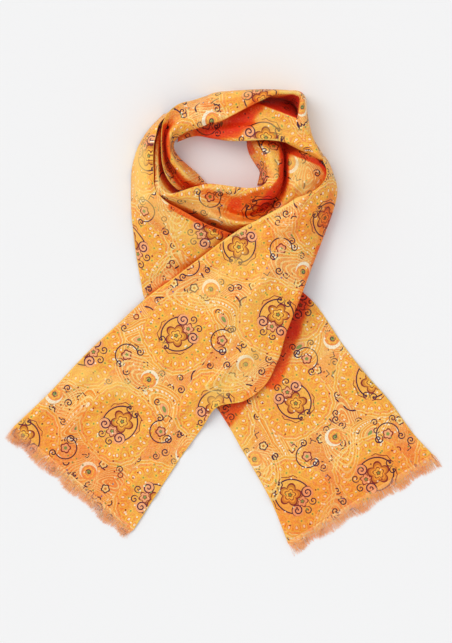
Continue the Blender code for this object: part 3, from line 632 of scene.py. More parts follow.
def creased(grid, name, free):
    """The grid with its creases, swells and, at its free edges, a shallow ripple."""
    x, y = plan(grid)
    rise = np.zeros(x.shape)
    for x0, y0, x1, y1, wide, height in CREASES[name]:
        dx, dy = x1 - x0, y1 - y0
        length = math.hypot(dx, dy)
        along = ((x - x0) * dx + (y - y0) * dy) / length**2
        off = ((x - x0) * dy - (y - y0) * dx) / length
        bow = CREASE_BOW * length * (1 - (2 * np.clip(along, 0, 1) - 1) ** 2)
        ends = np.clip(np.minimum(along, 1 - along) / CREASE_FADE + CREASE_FADE, 0, 1)
        ends = ends**2 * (3 - 2 * ends)
        rise += CREASE_SCALE * height * ends * np.exp(-(((off - bow) / wide) ** 2))
    for way_x, way_y, wave, phase, height in SWELLS:
        rise += height * (0.5 + 0.5 * np.sin(TURN * (x * way_x + y * way_y) / wave + phase))
    over = widths(grid)
    down = distances(grid)[:, None] / GRID
    ripple = sum(size * np.sin(TURN * down / wave + phase) for wave, phase, size in EDGE_WAVES)
    for edge, off in (("first", over), ("last", over[:, -1:] - over)):
        if edge in free:
            rise += EDGE_RISE * np.exp(-((off / EDGE_WIDE) ** 2)) * np.maximum(ripple, EDGE_DIP)
    if name in FRINGED:
        rise *= np.clip(down / END_FLAT, 0, 1)
    shaped = grid.copy()
    shaped[..., 2] += rise * MM
    shaped[..., 2] = np.maximum(shaped[..., 2], np.minimum(grid[..., 2], LEAST_HEIGHT))
    return shaped


def relaxed(flat, grid, rounds):
    """Places in the flat cloth, moved until neighbours stand as far apart as they do on the draped one."""
    every, start, end = slice(None), slice(0, -1), slice(1, None)
    count = np.zeros(flat.shape[:2])
    pairs = []
    for a, b in (
        ((every, start), (every, end)),
        ((start, every), (end, every)),
        ((start, start), (end, end)),
        ((start, end), (end, start)),
    ):
        pairs.append((a, b, np.linalg.norm(grid[b] - grid[a], axis=-1) / GRID))
        count[a] += 1
        count[b] += 1
    for _ in range(rounds):
        move = np.zeros(flat.shape)
        for a, b, rest in pairs:
            step = flat[b] - flat[a]
            size = np.maximum(np.linalg.norm(step, axis=-1), TINY)
            pull = step * ((size - rest) / size / 2)[..., None]
            move[a] += pull
            move[b] -= pull
        flat = flat + RELAX_SHARE * move / count[..., None]
    return flat


def resampled(values, rows, columns):
    """An array of rows by columns read at another number of rows and columns."""
    for axis, count in ((1, columns), (0, rows)):
        size = values.shape[axis]
        at = np.linspace(0, size - 1, count)
        low = np.minimum(at.astype(int), size - 2)
        share = (at - low).reshape((1, -1, 1) if axis else (-1, 1, 1))
        values = np.take(values, low, axis) * (1 - share) + np.take(values, low + 1, axis) * share
    return values


def flattened(grid):
    """Where each point of the grid stands on the flat cloth, in grid units: across and along."""
    flat = None
    for share, rounds in FLATTEN_ROUNDS:
        rows, columns = (size // share for size in grid.shape[:2])
        coarse = resampled(grid, max(rows, FEWEST_ROWS), max(columns, FEWEST_COLUMNS))
        if flat is None:
            over = widths(coarse)
            over -= over[:, -1:] / 2
            down = np.repeat(distances(coarse)[:, None] / GRID, coarse.shape[1], axis=1)
            flat = np.stack((over, down), axis=2)
        else:
            flat = resampled(flat, *coarse.shape[:2])
        flat = relaxed(flat, coarse, rounds)
    return flat


def write(mesh, label, numbers):
    """Keeps a number for each of the mesh's points."""
    mesh.attributes.new(label, "FLOAT", "POINT").data.foreach_set("value", numbers)


def laid_down(name, points, faces, places):
    """A new piece of the scene, with the flat cloth's places as its texture coordinates."""
    mesh = bpy.data.meshes.new(name)
    mesh.from_pydata(points, [], faces)
    mesh.update()
    corners = np.empty(len(mesh.loops), dtype=np.int32)
    mesh.loops.foreach_get("vertex_index", corners)
    layer = mesh.uv_layers.new(name="Cloth")
    layer.data.foreach_set("uv", places[corners].astype(np.float32).ravel())
    thing = bpy.data.objects.new(name, mesh)
    bpy.context.scene.collection.objects.link(thing)
    return thing


def shell(name, grid, side, free, origin):
    """A closed thin shell under the grid, its flat size and its first two rows in the flat cloth."""
    rows, columns = grid.shape[:2]
    total = rows * columns
    flat = flattened(grid) + np.array(origin)
    under = grid + unit(np.cross(headings(grid), headings_over(grid)) * -side) * CLOTH_THICK
    for face in (under, grid):
        face[..., 2] = np.maximum(face[..., 2], 0)
    points = np.concatenate((grid.reshape(-1, 3), under.reshape(-1, 3)))
    index = np.arange(total).reshape(rows, columns)
    a, b = index[:-1, :-1].ravel(), index[1:, :-1].ravel()
    c, d = index[1:, 1:].ravel(), index[:-1, 1:].ravel()
    top = np.stack((a, b, c, d), axis=1)
    bottom = np.stack((d, c, b, a), axis=1) + total
    ring = np.concatenate((index[0], index[1:, -1], index[-1, -2::-1], index[-2:0:-1, 0]))
    onward = np.roll(ring, -1)
    border = np.stack((ring, onward, onward + total, ring + total), axis=1)
    quads = np.concatenate((top, bottom, border))
    if side < 0:
        quads = quads[:, ::-1]
    thing = laid_down(name, points.tolist(), quads.tolist(), np.tile(flat.reshape(-1, 2), (2, 1)))
    thing.data.shade_smooth()
    over = widths(grid)
    edge = np.full(over.shape, FAR_FROM_EDGE)
    if "first" in free:
        edge = np.minimum(edge, over)
    if "last" in free:
        edge = np.minimum(edge, over[:, -1:] - over)
    write(thing.data, "selvedge", np.tile(edge.ravel(), 2).astype(np.float32))
    write(thing.data, "back", np.repeat((0.0, 1.0), total).astype(np.float32))
    wide = float(over[:, -1].mean() * GRID)
    long = float(distances(grid)[-1])
    return thing, (round(wide, 3), round(long, 3)), flat[:2]


# Fringe: threads per end, a thread's width and heights in metres, how flat it is and how much it tapers, how
# far it may stray past the cloth's corners, and its steps. How deep threads reach and how far in they start
# are in grid units.
THREADS = 1000
THREAD_SEED = 5
THREAD_PLACE = (0.1, 0.9)  # where a thread stands in its own share of the end
THREAD_WIDE = 0.0005
THREAD_FLAT = 0.3
THREAD_TAPER = 0.6
THREAD_TOP = 0.0017
THREAD_LOW = (0.0003, 0.0008)
THREAD_LIFT = (0.0002, 0.0018)
THREAD_LEAST = 0.00002
THREAD_STRAY = 0.0015
THREAD_STEPS = 4
THREAD_DEEP = (10.0, 13.6)
THREAD_ROOT = 1.4

# Threads gather in tufts: how far they lean, as a share of their depth, over what length in metres and with
# what phase. Each one also leans and bends by chance, and their depth swells slowly along the end.
TUFTS = ((0.16, 0.0041, 0), (0.12, 0.0113, 2))
THREAD_LEAN = 0.13
THREAD_BEND = 0.18
DEEP_SWELL = (0.12, 0.0071, 1)


def swing(run, size, wave, phase):
    return size * math.sin(run / wave + phase)


def fringe(name, start, end, flat, source):
    """Frayed threads along a cloth end, which leave it to the right of the way from start to end.

    The print of the cloth's end runs on over them: flat holds the end's first two rows in the flat cloth.
    """
    first, last = (np.array(place(*corner, 0)[:2]) for corner in (start, end))
    length = float(np.linalg.norm(last - first))
    along = (last - first) / length
    out = np.array((along[1], -along[0]))
    root = THREAD_ROOT * GRID
    points, faces, shades, far_out, spots = [], [], [], [], []
    for k in range(THREADS):
        run = length * (k + source.uniform(*THREAD_PLACE)) / THREADS
        lean = sum(swing(run, *tuft) for tuft in TUFTS) + source.gauss(0, THREAD_LEAN)
        bend = source.gauss(0, THREAD_BEND)
        deep = source.uniform(*THREAD_DEEP) * GRID * (1 + swing(run, *DEEP_SWELL))
        low = source.uniform(*THREAD_LOW)
        lift = source.uniform(*THREAD_LIFT)
        shade = source.random()
        base = len(points)
        for step in range(THREAD_STEPS + 1):
            t = step / THREAD_STEPS
            aside = run + deep * t * (lean + bend * t)
            aside = min(max(aside, -THREAD_STRAY), length + THREAD_STRAY)
            away = -root + (deep + root) * t
            centre = first + along * aside + out * away
            high = low + (THREAD_TOP - low) * (1 - t) ** 2 + lift * math.sin(math.pi * t) ** 2
            half = THREAD_WIDE * (1 - THREAD_TAPER * t) / 2
            for corner in range(3):
                angle = TURN * corner / 3 + math.pi / 2
                side = centre + along * math.cos(angle) * half
                points.append((*side, max(high + math.sin(angle) * half * THREAD_FLAT, THREAD_LEAST)))
                shades.append(shade)
                far_out.append(t)
                spots.append((run / length, max(away, 0.0) / GRID))
        for step in range(THREAD_STEPS):
            for corner in range(3):
                a = base + 3 * step + corner
                b = base + 3 * step + (corner + 1) % 3
                faces.append((a, b, b + 3, a + 3))
        top = base + 3 * THREAD_STEPS
        faces += [(base + 2, base + 1, base), (top, top + 1, top + 2)]
    spots = np.array(spots)
    shares = np.linspace(0, 1, flat.shape[1])
    roots = np.stack([np.interp(spots[:, 0], shares, flat[0][:, axis]) for axis in (0, 1)], axis=1)
    beyond = unit((flat[0] - flat[1]).mean(axis=0))
    thing = laid_down(name, points, faces, roots + beyond * spots[:, 1:])
    write(thing.data, "thread", shades)
    write(thing.data, "far", far_out)
    return thing


# The print's colours
PEACH = "#FA9C4C"
AMBER = "#FCAE3E"
ORANGE = "#F88A2E"
DEEP = "#FA8E24"
MARIGOLD = "#FCA63C"
YELLOW = "#FFC64E"
CREAM = "#FFDC8C"
PALE = "#FFF0D0"
PINK = "#FCAE78"
BURGUNDY = "#8E2F28"
GOLD = "#D98A2C"
PLUM = "#4A1C3C"
SAGE = "#8FA052"
VIOLET = "#84629A"

# Other colours: painted highlight on lit folds, painted shade on the back, the weave's darker grain, white,
# the sheen and the fringe's two ends
PAINTED_HIGHLIGHT = "#FFD470"
PAINTED_BACK_SHADE = "#C8420F"
GRAIN = "#E9E2DA"
WHITE = "#FFFFFF"
SHEEN = "#FFD9A8"
FRINGE_ORANGE = "#FF9C5E"
FRINGE_PALE = "#FFC49A"

# Painted shade that tints the cloth in its folds, from closed to open
PAINTED_FOLD_SHADES = ((0.0, "#CC3A3C"), (0.03, "#F04A34"), (0.2, "#F2723C"), (0.45, "#FAAC68"), (0.78, WHITE))


def linear(code, alpha=1.0):
    """A colour written as a hex code, as the renderer's linear values."""
    parts = [int(code[i : i + 2], 16) / 255 for i in (1, 3, 5)]
    return (*(c / 12.92 if c <= 0.04045 else ((c + 0.055) / 1.055) ** 2.4 for c in parts), alpha)


class Term:
    """A number worked out by shader nodes."""

    def __init__(self, socket):
        self.socket = socket
        self.tree = socket.id_data

    def __add__(self, other):
        return work("ADD", self, other)

    def __sub__(self, other):
        return work("SUBTRACT", self, other)

    def __mul__(self, other):
        return work("MULTIPLY", self, other)

    def __truediv__(self, other):
        return work("DIVIDE", self, other)

    def __rsub__(self, other):
        return work("SUBTRACT", other, self)


def put(socket, value):
    """Links an input to an output, or sets it to a constant."""
    if isinstance(value, Term):
        value = value.socket
    if isinstance(value, bpy.types.NodeSocket):
        socket.id_data.links.new(value, socket)
    else:
        socket.default_value = value


def node(tree, kind, inputs, **settings):
    """A new shader node with its settings and, by name or number, its inputs."""
    made = tree.nodes.new(kind)
    for label, value in settings.items():
        setattr(made, label, value)
    for label, value in inputs.items():
        put(made.inputs[label], value)
    return made


def tree_of(values):
    return next(value for value in values if isinstance(value, Term)).tree


def work(operation, *values):
    inputs = dict(enumerate(values))
    return Term(node(tree_of(values), "ShaderNodeMath", inputs, operation=operation).outputs[0])


def near(value, at, off):
    """1 where value is no further than off from at, otherwise 0."""
    return work("COMPARE", value, at, off)


def below(value, limit):
    return work("LESS_THAN", value, limit)


def above(value, limit):
    return work("GREATER_THAN", value, limit)


def stripes(value, at, off):
    """Lines that come back at each whole step of the value."""
    return near(work("FRACT", value), at, off)


def size_of(value):
    return work("ABSOLUTE", value)


def sine(value):
    return work("SINE", value)


def cosine(value):
    return work("COSINE", value)


def reach(x, y):
    """The distance of x, y from 0, 0."""
    return work("SQRT", work("MULTIPLY_ADD", x, x, y * y))


def bearing(x, y):
    return work("ARCTAN2", y, x)


def turned(x, y, share):
    """Places turned round 0, 0 by a share of a whole turn."""
    angle = share * TURN
    ca, sa = cosine(angle), sine(angle)
    return x * ca - y * sa, x * sa + y * ca


def paint(ground, mask, colour, blend="MIX"):
    """The ground with a colour over it where the mask is 1."""
    inputs = {0: mask, 6: ground, 7: linear(colour) if isinstance(colour, str) else colour}
    return node(ground.id_data, "ShaderNodeMix", inputs, data_type="RGBA", blend_type=blend).outputs[2]


def bands(value, stops, smooth=False):
    """A colour and its cover read from bands of a value.

    Each stop says where its colour starts, the colour and, where it isn't 1, the cover.
    """
    made = node(value.tree, "ShaderNodeValToRGB", {0: value})
    ramp = made.color_ramp
    ramp.interpolation = "LINEAR" if smooth else "CONSTANT"
    while len(ramp.elements) > 1:
        ramp.elements.remove(ramp.elements[-1])
    for index, (at, *colour) in enumerate(stops):
        stop = ramp.elements[0] if index == 0 else ramp.elements.new(at)
        stop.position = at
        stop.color = linear(*colour)
    return made.outputs[0], Term(made.outputs[1])


def vector(*parts):
    return node(tree_of(parts), "ShaderNodeCombineXYZ", dict(enumerate(parts))).outputs[0]


def plan_parts(socket):
    made = node(socket.id_data, "ShaderNodeSeparateXYZ", {0: socket})
    return Term(made.outputs[0]), Term(made.outputs[1])


def noise(x, y, scale, detail=1.0, wander=0.0):
    inputs = {"Vector": vector(x, y), "Scale": scale, "Detail": detail, "Distortion": wander}
    return Term(node(x.tree, "ShaderNodeTexNoise", inputs, noise_dimensions="2D").outputs[0])


def scattered(u, v, size, freedom=1.0):
    """Cells of about a size, each round a point of its own."""
    inputs = {"Vector": vector(u, v), "Scale": 1 / size, "Randomness": freedom}
    return node(u.tree, "ShaderNodeTexVoronoi", inputs, voronoi_dimensions="2D")


def chance(x, y, extra):
    """A steady random number from 0 to 1 for each cell."""
    inputs = {"Vector": vector(x, y, extra)}
    return Term(node(x.tree, "ShaderNodeTexWhiteNoise", inputs, noise_dimensions="3D").outputs[0])


def attribute(tree, name):
    return Term(node(tree, "ShaderNodeAttribute", {}, attribute_name=name).outputs["Fac"])


def around(x, y, count, far):
    """Places along a ring of a radius far, cut into equal shares: how far out and along, and the share."""
    share = bearing(x, y) * (count / TURN)
    cell = work("FLOOR", share)
    return reach(x, y) - far, (share - cell - 0.5) * (TURN * far / count), cell


def curl(x, y, start, pitch, wide, limit):
    """A thin spiral line that winds out from its centre to a limit."""
    r = reach(x, y)
    turns = (r - start) / pitch - bearing(x, y) * (1 / TURN)
    return stripes(turns, 0.5, wide / pitch / 2) * below(r, limit)


def blossom(x, y, petals, size, depth):
    """How far out of the outline of a flower with round petals a place is, 1 being on the outline."""
    lobe = size_of(cosine(bearing(x, y) * (petals / 2)))
    return reach(x, y) / work("MULTIPLY_ADD", lobe, depth * size, (1 - depth) * size)


def teardrop(x, y, long, wide, bend):
    """Rings of a bent paisley drop: 0 at its heart and 1 on its outline."""
    t = y / long
    narrow = 1.05 - work("MAXIMUM", t + 0.1, 0.0) * 0.95
    return reach((x - t * t * bend) / work("MAXIMUM", narrow * wide, 0.6), t)


# The repeat of the print in the flat cloth, in grid units: two steps from one medallion to its neighbours
STEP_ONE = (78.0, -30.0)
STEP_TWO = (-21.0, 109.0)


class Print:
    """A print laid down colour by colour, at the flat cloth's places u and v, in grid units.

    Its motifs are drawn in grid units too, each round its own 0, 0. Outside is 1 where no large one stands.
    """

    def __init__(self, u, v, ground):
        self.u, self.v, self.colour, self.outside = u, v, ground, None

    def lay(self, mask, colour):
        self.colour = paint(self.colour, mask, colour)

    def lay_rings(self, value, stops):
        """Rings of colour, and where they lie."""
        tint, cover = bands(value, stops)
        self.lay(cover, tint)
        return cover

    def lay_discs(self, value, steps):
        """Smaller and smaller discs over each other, each where the value is below a limit."""
        for limit, colour in steps:
            self.lay(below(value, limit), colour)

    def repeat(self, share_one, share_two, seed):
        """Places around the nearest point of the repeat, turned by a random angle, and the cell's numbers."""
        area = STEP_ONE[0] * STEP_TWO[1] - STEP_ONE[1] * STEP_TWO[0]
        s = self.u * (STEP_TWO[1] / area) - self.v * (STEP_TWO[0] / area)
        t = self.v * (STEP_ONE[0] / area) - self.u * (STEP_ONE[1] / area)
        cell = (work("ROUND", s - share_one), work("ROUND", t - share_two))
        s = s - (cell[0] + share_one)
        t = t - (cell[1] + share_two)
        x, y = (s * STEP_ONE[axis] + t * STEP_TWO[axis] for axis in (0, 1))
        return *turned(x, y, chance(*cell, seed)), cell


def ground(u, v):
    """Oranges that change slowly, with pale swirls and flecks of painted glint and mottling."""
    slow = noise(u, v, 0.023, 2.0, 0.6)
    clouds = ((0.3, ORANGE), (0.42, PEACH), (0.58, PEACH), (0.66, AMBER), (0.8, YELLOW))
    ink = Print(u, v, bands(slow, clouds, True)[0])
    swirl = noise(u, v, 0.028, 0.5, 1.8) * 16.0
    ink.lay(stripes(swirl, 0.5, 0.1) * 0.5, CREAM)
    ink.lay(stripes(swirl + 0.5, 0.5, 0.08) * above(slow, 0.5) * 0.5, DEEP)
    # Flecks of yellow, deep orange and pink: painted glints and mottling of the weave
    glint_and_mottle = noise(u, v, 0.55, 2.0)
    ink.lay(above(glint_and_mottle, 0.58) * 0.5, YELLOW)
    ink.lay(below(glint_and_mottle, 0.4) * 0.5, DEEP)
    ink.lay(above(noise(v, u, 0.42, 2.0), 0.6) * 0.5, PINK)
    return ink


def faint_drops(ink):
    """Paisley drops of thin lines that the medallions lie over."""
    x, y, _ = ink.repeat(0.28, 0.62, 5.0)
    y = y + 6.0
    drop = teardrop(x, y, 33.0, 17.0, -19.0)
    inside = below(drop, 1.0)
    ink.lay(inside * 0.7, PEACH)
    ink.lay(stripes(drop * 6.0, 0.5, 0.17) * inside * 0.9, CREAM)
    ink.lay(near(drop, 1.08, 0.025) * 0.9, YELLOW)
    ink.lay(curl(x, y, 0.2, 3.0, 1.0, 5.0), DEEP)


def drops(ink):
    """Paisley drops of thin lines, with a row of beads and a scalloped outline."""
    x, y, _ = ink.repeat(0.5, 0.5, 3.0)
    y = y + 8.0
    drop = teardrop(x, y, 38.0, 20.0, 22.0)
    inside = below(drop, 1.0)
    ink.lay(inside * 0.7, AMBER)
    ink.lay(stripes(drop * 7.0, 0.5, 0.17) * inside * 0.95, CREAM)
    ink.lay(stripes(drop * 3.5, 0.14, 0.07) * inside * 0.9, DEEP)
    share = bearing(x, y) * (26 / TURN)
    ink.lay(below(reach((drop - 0.62) * 16.0, (work("FRACT", share) - 0.5) * 3.4), 0.9), PALE)
    ink.lay_discs(drop, ((0.16, PINK), (0.09, SAGE)))
    ink.lay(near(drop + sine(share * TURN) * 0.03, 1.06, 0.022) * 0.9, YELLOW)
    ink.outside = 1.0 - inside


def medallions(ink):
    """Round medallions: rings of colour, petals, small flowers, dots and a border of curls and dashes."""
    x, y, cell = ink.repeat(0.0, 0.0, 1.0)
    angle = bearing(x, y)
    wave = work("MULTIPLY_ADD", cosine(angle * 4.0), 0.05, 1.0)
    rings = reach(x, y) * wave + size_of(sine(angle * 11.0))
    inner = ((0.0, PEACH), (0.4, AMBER), (0.46, YELLOW), (0.475, MARIGOLD), (0.6, DEEP), (0.7, YELLOW))
    border = ((0.722, PEACH), (0.768, CREAM), (0.786, AMBER), (0.83, CREAM), (0.848, PEACH, 0))
    cover = ink.lay_rings(rings / 48.5, inner + border)
    # Flecks over the medallions: painted glints and mottling of the weave
    glint_and_mottle = noise(ink.v, ink.u, 0.4, 2.0)
    ink.lay(above(glint_and_mottle, 0.56) * cover * 0.4, YELLOW)
    ink.lay(below(glint_and_mottle, 0.42) * cover * 0.4, PINK)
    ink.outside = ink.outside * (1.0 - cover)
    off, along, _ = around(x, y, 25, 31.0)
    petal = reach(off * 0.72, along)
    ink.lay(near(petal, 2.6, 0.55) * 0.85, YELLOW)
    ink.lay(below(petal, 1.1) * 0.8, PALE)
    off, along, _ = around(x, y, 12, 25.2)
    flower = blossom(off, along, 5, 2.9, 0.42)
    ink.lay(below(flower, 1.0) * 0.8, YELLOW)
    ink.lay(below(flower, 0.36), SAGE)
    off, along, _ = around(x, y, 25, 36.6)
    ink.lay(below(reach(off, along), 0.9), DEEP)
    off, along, share = around(x, y, 15, 45.0)
    kind = chance(share, *cell)
    ink.lay(curl(off, along, 0.4, 2.7, 1.1, 3.8) * above(kind, 0.4), PLUM)
    dash = near(off + cosine(along) * 1.4, 0.9, 0.6) * below(size_of(along), 3.4)
    ink.lay(dash * below(kind, 0.4), PLUM)
    lyre(ink, x, y)


def lyre(ink, x, y):
    """Scrolls round a lobed flower, the same on both sides of the medallion's own axis."""
    fold = size_of(y)
    r = reach((x - 1.0) * 0.88, fold)
    ink.lay(below(r, 16.4) * 0.6, YELLOW)
    ink.lay(near(r, 16.6, 0.62) * above(x, -9.5) * above(fold, 3.6), PLUM)
    scallop = r + size_of(sine(bearing(x, y) * 6.0)) * 1.5
    ink.lay(near(scallop, 20.4, 0.4) * above(x, 6.0) * above(fold, 3.0), BURGUNDY)
    ink.lay(below(reach(x + 9.5, fold - 10.2), 5.6), PINK)
    scrolls = ((-9.5, 10.2, 3.6, 1.25, 6.2), (19.0, 4.2, 3.0, 1.1, 4.0), (-18.5, 5.5, 3.0, 1.1, 4.2))
    for to_x, to_y, pitch, wide, limit in scrolls:
        ink.lay(curl(x - to_x, fold - to_y, 0.2, pitch, wide, limit), PLUM)
    heart = ((0.0, SAGE), (0.12, BURGUNDY), (0.2, YELLOW), (0.42, BURGUNDY), (0.5, AMBER))
    petals = ((0.66, GOLD), (0.85, BURGUNDY), (1.0, GOLD, 0))
    ink.lay_rings(blossom(x - 4.5, y, 5, 12.0, 0.36), heart + petals)
    bud = ((0.0, SAGE), (0.26, BURGUNDY), (0.38, PINK), (0.8, BURGUNDY), (1.0, PINK, 0))
    ink.lay_rings(blossom(x + 9.5, y, 5, 6.2, 0.34), bud)


def hooks(ink):
    """Hooks with a pale lip, two curls and a flower."""
    x, y, _ = ink.repeat(0.55, 0.38, 7.0)
    r = reach(x, y)
    ink.lay(below(r, 11.0) * above(reach(x - 2.0, y - 1.0), 9.9) * above(x + y, -5.0), PALE)
    ink.lay(near(r, 11.4, 0.58) * above(x + y * 0.5, -6.5), PLUM)
    ink.lay(curl(x + 6.0, y - 8.5, 0.4, 3.2, 1.3, 4.9), PLUM)
    ink.lay(curl(x - 1.0, y + 13.5, 0.4, 2.8, 1.2, 4.0), PLUM)
    ink.lay_discs(blossom(x - 0.5, y, 5, 5.4, 0.25), ((1.05, BURGUNDY), (0.78, PINK), (0.36, SAGE)))
    ink.outside = ink.outside * above(r, 15.0)


def crescents(ink):
    """Pale crescents round a small flower, over a drop of lines and in a ring of dots."""
    x, y, _ = ink.repeat(0.0, 0.5, 9.0)
    r = reach(x, y)
    drop = teardrop(x, y + 5.0, 27.0, 14.0, -11.0)
    ink.lay(stripes(drop * 5.0, 0.5, 0.17) * below(drop, 1.4) * 0.75, CREAM)
    disc = below(r, 9.0)
    ink.lay(disc, PEACH)
    ink.lay(disc * above(reach(x - 2.0, y + 1.0), 7.8), PALE)
    off, along, _ = around(x, y, 16, 11.0)
    x, y = x - 1.4, y + 0.8
    flower = blossom(x, y, 6, 5.6, 0.3)
    ink.lay(near(flower, 0.9, 0.13), YELLOW)
    ink.lay(below(flower, 0.42), SAGE)
    ink.lay(curl(x, y, 0.2, 2.6, 0.8, 3.2), PLUM)
    ink.lay(below(reach(off, along), 0.7) * 0.6, CREAM)
    ink.outside = ink.outside * above(r, 12.5)


def sprigs(ink):
    """Small flowers, curls, arcs and rings scattered outside the large motifs."""
    cell_u, cell_v = plan_parts(scattered(ink.u, ink.v, 15.5, 0.7).outputs["Position"])
    kind = chance(cell_u, cell_v, 0.5)
    x, y = turned(ink.u - cell_u, ink.v - cell_v, chance(cell_v, cell_u, 2.5))
    small = blossom(x, y, 5, 4.2, 0.24)
    flower = ink.outside * above(kind, 0.7)
    for limit, colour in ((1.15, PLUM), (0.82, CREAM), (0.36, GOLD)):
        ink.lay(below(small, limit) * flower, colour)
    ink.lay(curl(x, y, 0.3, 2.9, 1.2, 4.2) * (ink.outside * near(kind, 0.52, 0.18)), PLUM)
    arc = near(reach(x, y * 0.6), 4.0, 0.65) * above(x, 1.6)
    ink.lay(arc * ink.outside * near(kind, 0.24, 0.1), PLUM)
    ink.lay(near(reach(x, y), 2.4, 0.55) * ink.outside * below(kind, 0.14), BURGUNDY)


def dots(ink):
    """Small dots of several colours."""
    cells = scattered(ink.u, ink.v, 8.5)
    dot = below(Term(cells.outputs["Distance"]), 0.1)
    parts = node(cells.id_data, "ShaderNodeSeparateColor", {0: cells.outputs["Color"]})
    pick = Term(parts.outputs[0])
    ink.lay(dot * above(pick, 0.72), PALE)
    ink.lay(dot * below(pick, 0.14), SAGE)
    ink.lay(dot * near(pick, 0.2, 0.05) * ink.outside, VIOLET)
    ink.lay(dot * near(pick, 0.3, 0.05), BURGUNDY)


def print_colours(u, v):
    """The whole print, its motifs laid over each other in this order."""
    ink = ground(u, v)
    for motifs in (faint_drops, drops, medallions, hooks, crescents, sprigs, dots):
        motifs(ink)
    return ink.colour


def cloth_places(tree):
    return plan_parts(node(tree, "ShaderNodeUVMap", {}, uv_map="Cloth").outputs[0])


def material(name, inputs):
    """A new material, its nodes and its shader with these inputs."""
    made = bpy.data.materials.new(name)
    made.use_nodes = True
    shader = made.node_tree.nodes["Principled BSDF"]
    for label, value in inputs.items():
        shader.inputs[label].default_value = value
    return made, made.node_tree, shader


def silk():
    """Printed silk twill, redder at the back and in its folds, with a pale rolled edge.

    The redness is painted shade, and the pale rolled edge and the lit folds are painted highlights.
    """
    inputs = {
        "Roughness": 0.5,
        "Specular IOR Level": 0.22,
        "Sheen Weight": 0.06,
        "Sheen Roughness": 0.4,
        "Sheen Tint": linear(SHEEN),
    }
    made, tree, shader = material("printed_silk", inputs)
    u, v = cloth_places(tree)
    grain = bands(noise(u, v * 0.35, 1.1, 2.0), ((0.3, GRAIN), (0.62, WHITE)), True)[0]
    colour = paint(print_colours(u, v), 1.0, grain, "MULTIPLY")
    # Painted shade: the back face is tinted redder
    colour = paint(colour, attribute(tree, "back") * 0.35, PAINTED_BACK_SHADE)
    # Painted highlight along the rolled edge
    colour = paint(colour, below(attribute(tree, "selvedge"), 1.2) * 0.6, YELLOW)
    # Painted highlights from the glint strokes
    colour = paint(colour, attribute(tree, "glint"), PAINTED_HIGHLIGHT)
    # Painted shade in folds and in the hollow, from how open the cloth is
    folds = bands(attribute(tree, "open"), PAINTED_FOLD_SHADES, True)[0]
    put(shader.inputs["Base Color"], paint(colour, 1.0, folds, "MULTIPLY"))
    twill = sine((u + v) * 13.0) * 0.5 + noise(u, v, 0.9, 2.0) * 1.4
    bump = node(tree, "ShaderNodeBump", {"Strength": 0.22, "Distance": 0.0004, "Height": twill})
    put(shader.inputs["Normal"], bump.outputs[0])
    return made


def frayed_silk():
    """Frayed printed threads that turn paler towards their tips."""
    inputs = {"Roughness": 0.6, "Specular IOR Level": 0.2, "Sheen Weight": 0.1}
    made, tree, shader = material("frayed_silk", inputs)
    pale = bands(attribute(tree, "thread"), ((0.0, FRINGE_ORANGE), (1.0, FRINGE_PALE)), True)[0]
    share = attribute(tree, "far") * 0.5 + 0.26
    put(shader.inputs["Base Color"], paint(print_colours(*cloth_places(tree)), share, pale))
    return made


def white_surface():
    """A smooth matt white table top."""
    inputs = {"Base Color": (0.88, 0.878, 0.875, 1), "Roughness": 0.85, "Specular IOR Level": 0.1}
    return material("white_surface", inputs)[0]


# How open the cloth is to the room, which sets its painted shade: rays leave its points, a count at each
# slant, and run for this distance
RAY_RINGS = ((0.35, 4), (0.72, 7), (0.93, 6))
RAY_START = 0.0009
RAY_REACH = 0.07

# A ray that points further down than this counts less, because it meets the table
DOWNWARD = -0.05
RAY_DOWN = 0.6

# The least that any fold is open, apart from the dark hollow
OPEN_LEAST = 0.03


def open_shares(cloth, tree):
    """For each point of a cloth, the share of the rays leaving it that meet no cloth."""
    rays = []
    for slant, count in RAY_RINGS:
        for k in range(count):
            turn = TURN * (k + slant) / count
            rays.append((slant * math.cos(turn), slant * math.sin(turn), math.sqrt(1 - slant**2)))
    found = []
    for point in cloth.data.vertices:
        normal = point.normal
        aside = normal.cross(Vector((0, 1, 0)) if abs(normal.y) < 0.9 else Vector((1, 0, 0))).normalized()
        other = normal.cross(aside)
        start = point.co + normal * RAY_START
        free, total = 0.0, 0.0
        for a, b, c in rays:
            way = aside * a + other * b + normal * c
            total += c
            if tree.ray_cast(start, way, RAY_REACH)[0] is None:
                free += c * (1.0 if way.z > DOWNWARD else RAY_DOWN)
        found.append(free / total)
    return np.array(found)


def paint_shade_and_highlights(cloths):
    """Writes how open each point of the cloths is, with painted shade, and its painted highlight."""
    points, faces = [], []
    for cloth in cloths:
        base = len(points)
        points += [tuple(point.co) for point in cloth.data.vertices]
        faces += [tuple(base + i for i in face.vertices) for face in cloth.data.polygons]
    tree = BVHTree.FromPolygons(points, faces)
    for cloth in cloths:
        found = open_shares(cloth, tree)
        spots = np.array([tuple(point.co) for point in cloth.data.vertices])
        # Painted shade from the listed strokes
        for *line, left in SHADES[cloth.name]:
            found *= 1 - stroke(spots, *line) * (1 - left)
        found = np.maximum(found, OPEN_LEAST)
        # Painted deep shade in the hollow
        if cloth.name == "loop_cloth":
            found *= 1 - in_hollow(spots)
        glint = np.zeros(len(spots))
        # Painted highlights from the glint strokes
        for *line, light in GLINTS[cloth.name]:
            glint = np.maximum(glint, stroke(spots, *line) * light)
        write(cloth.data, "open", found)
        write(cloth.data, "glint", glint)


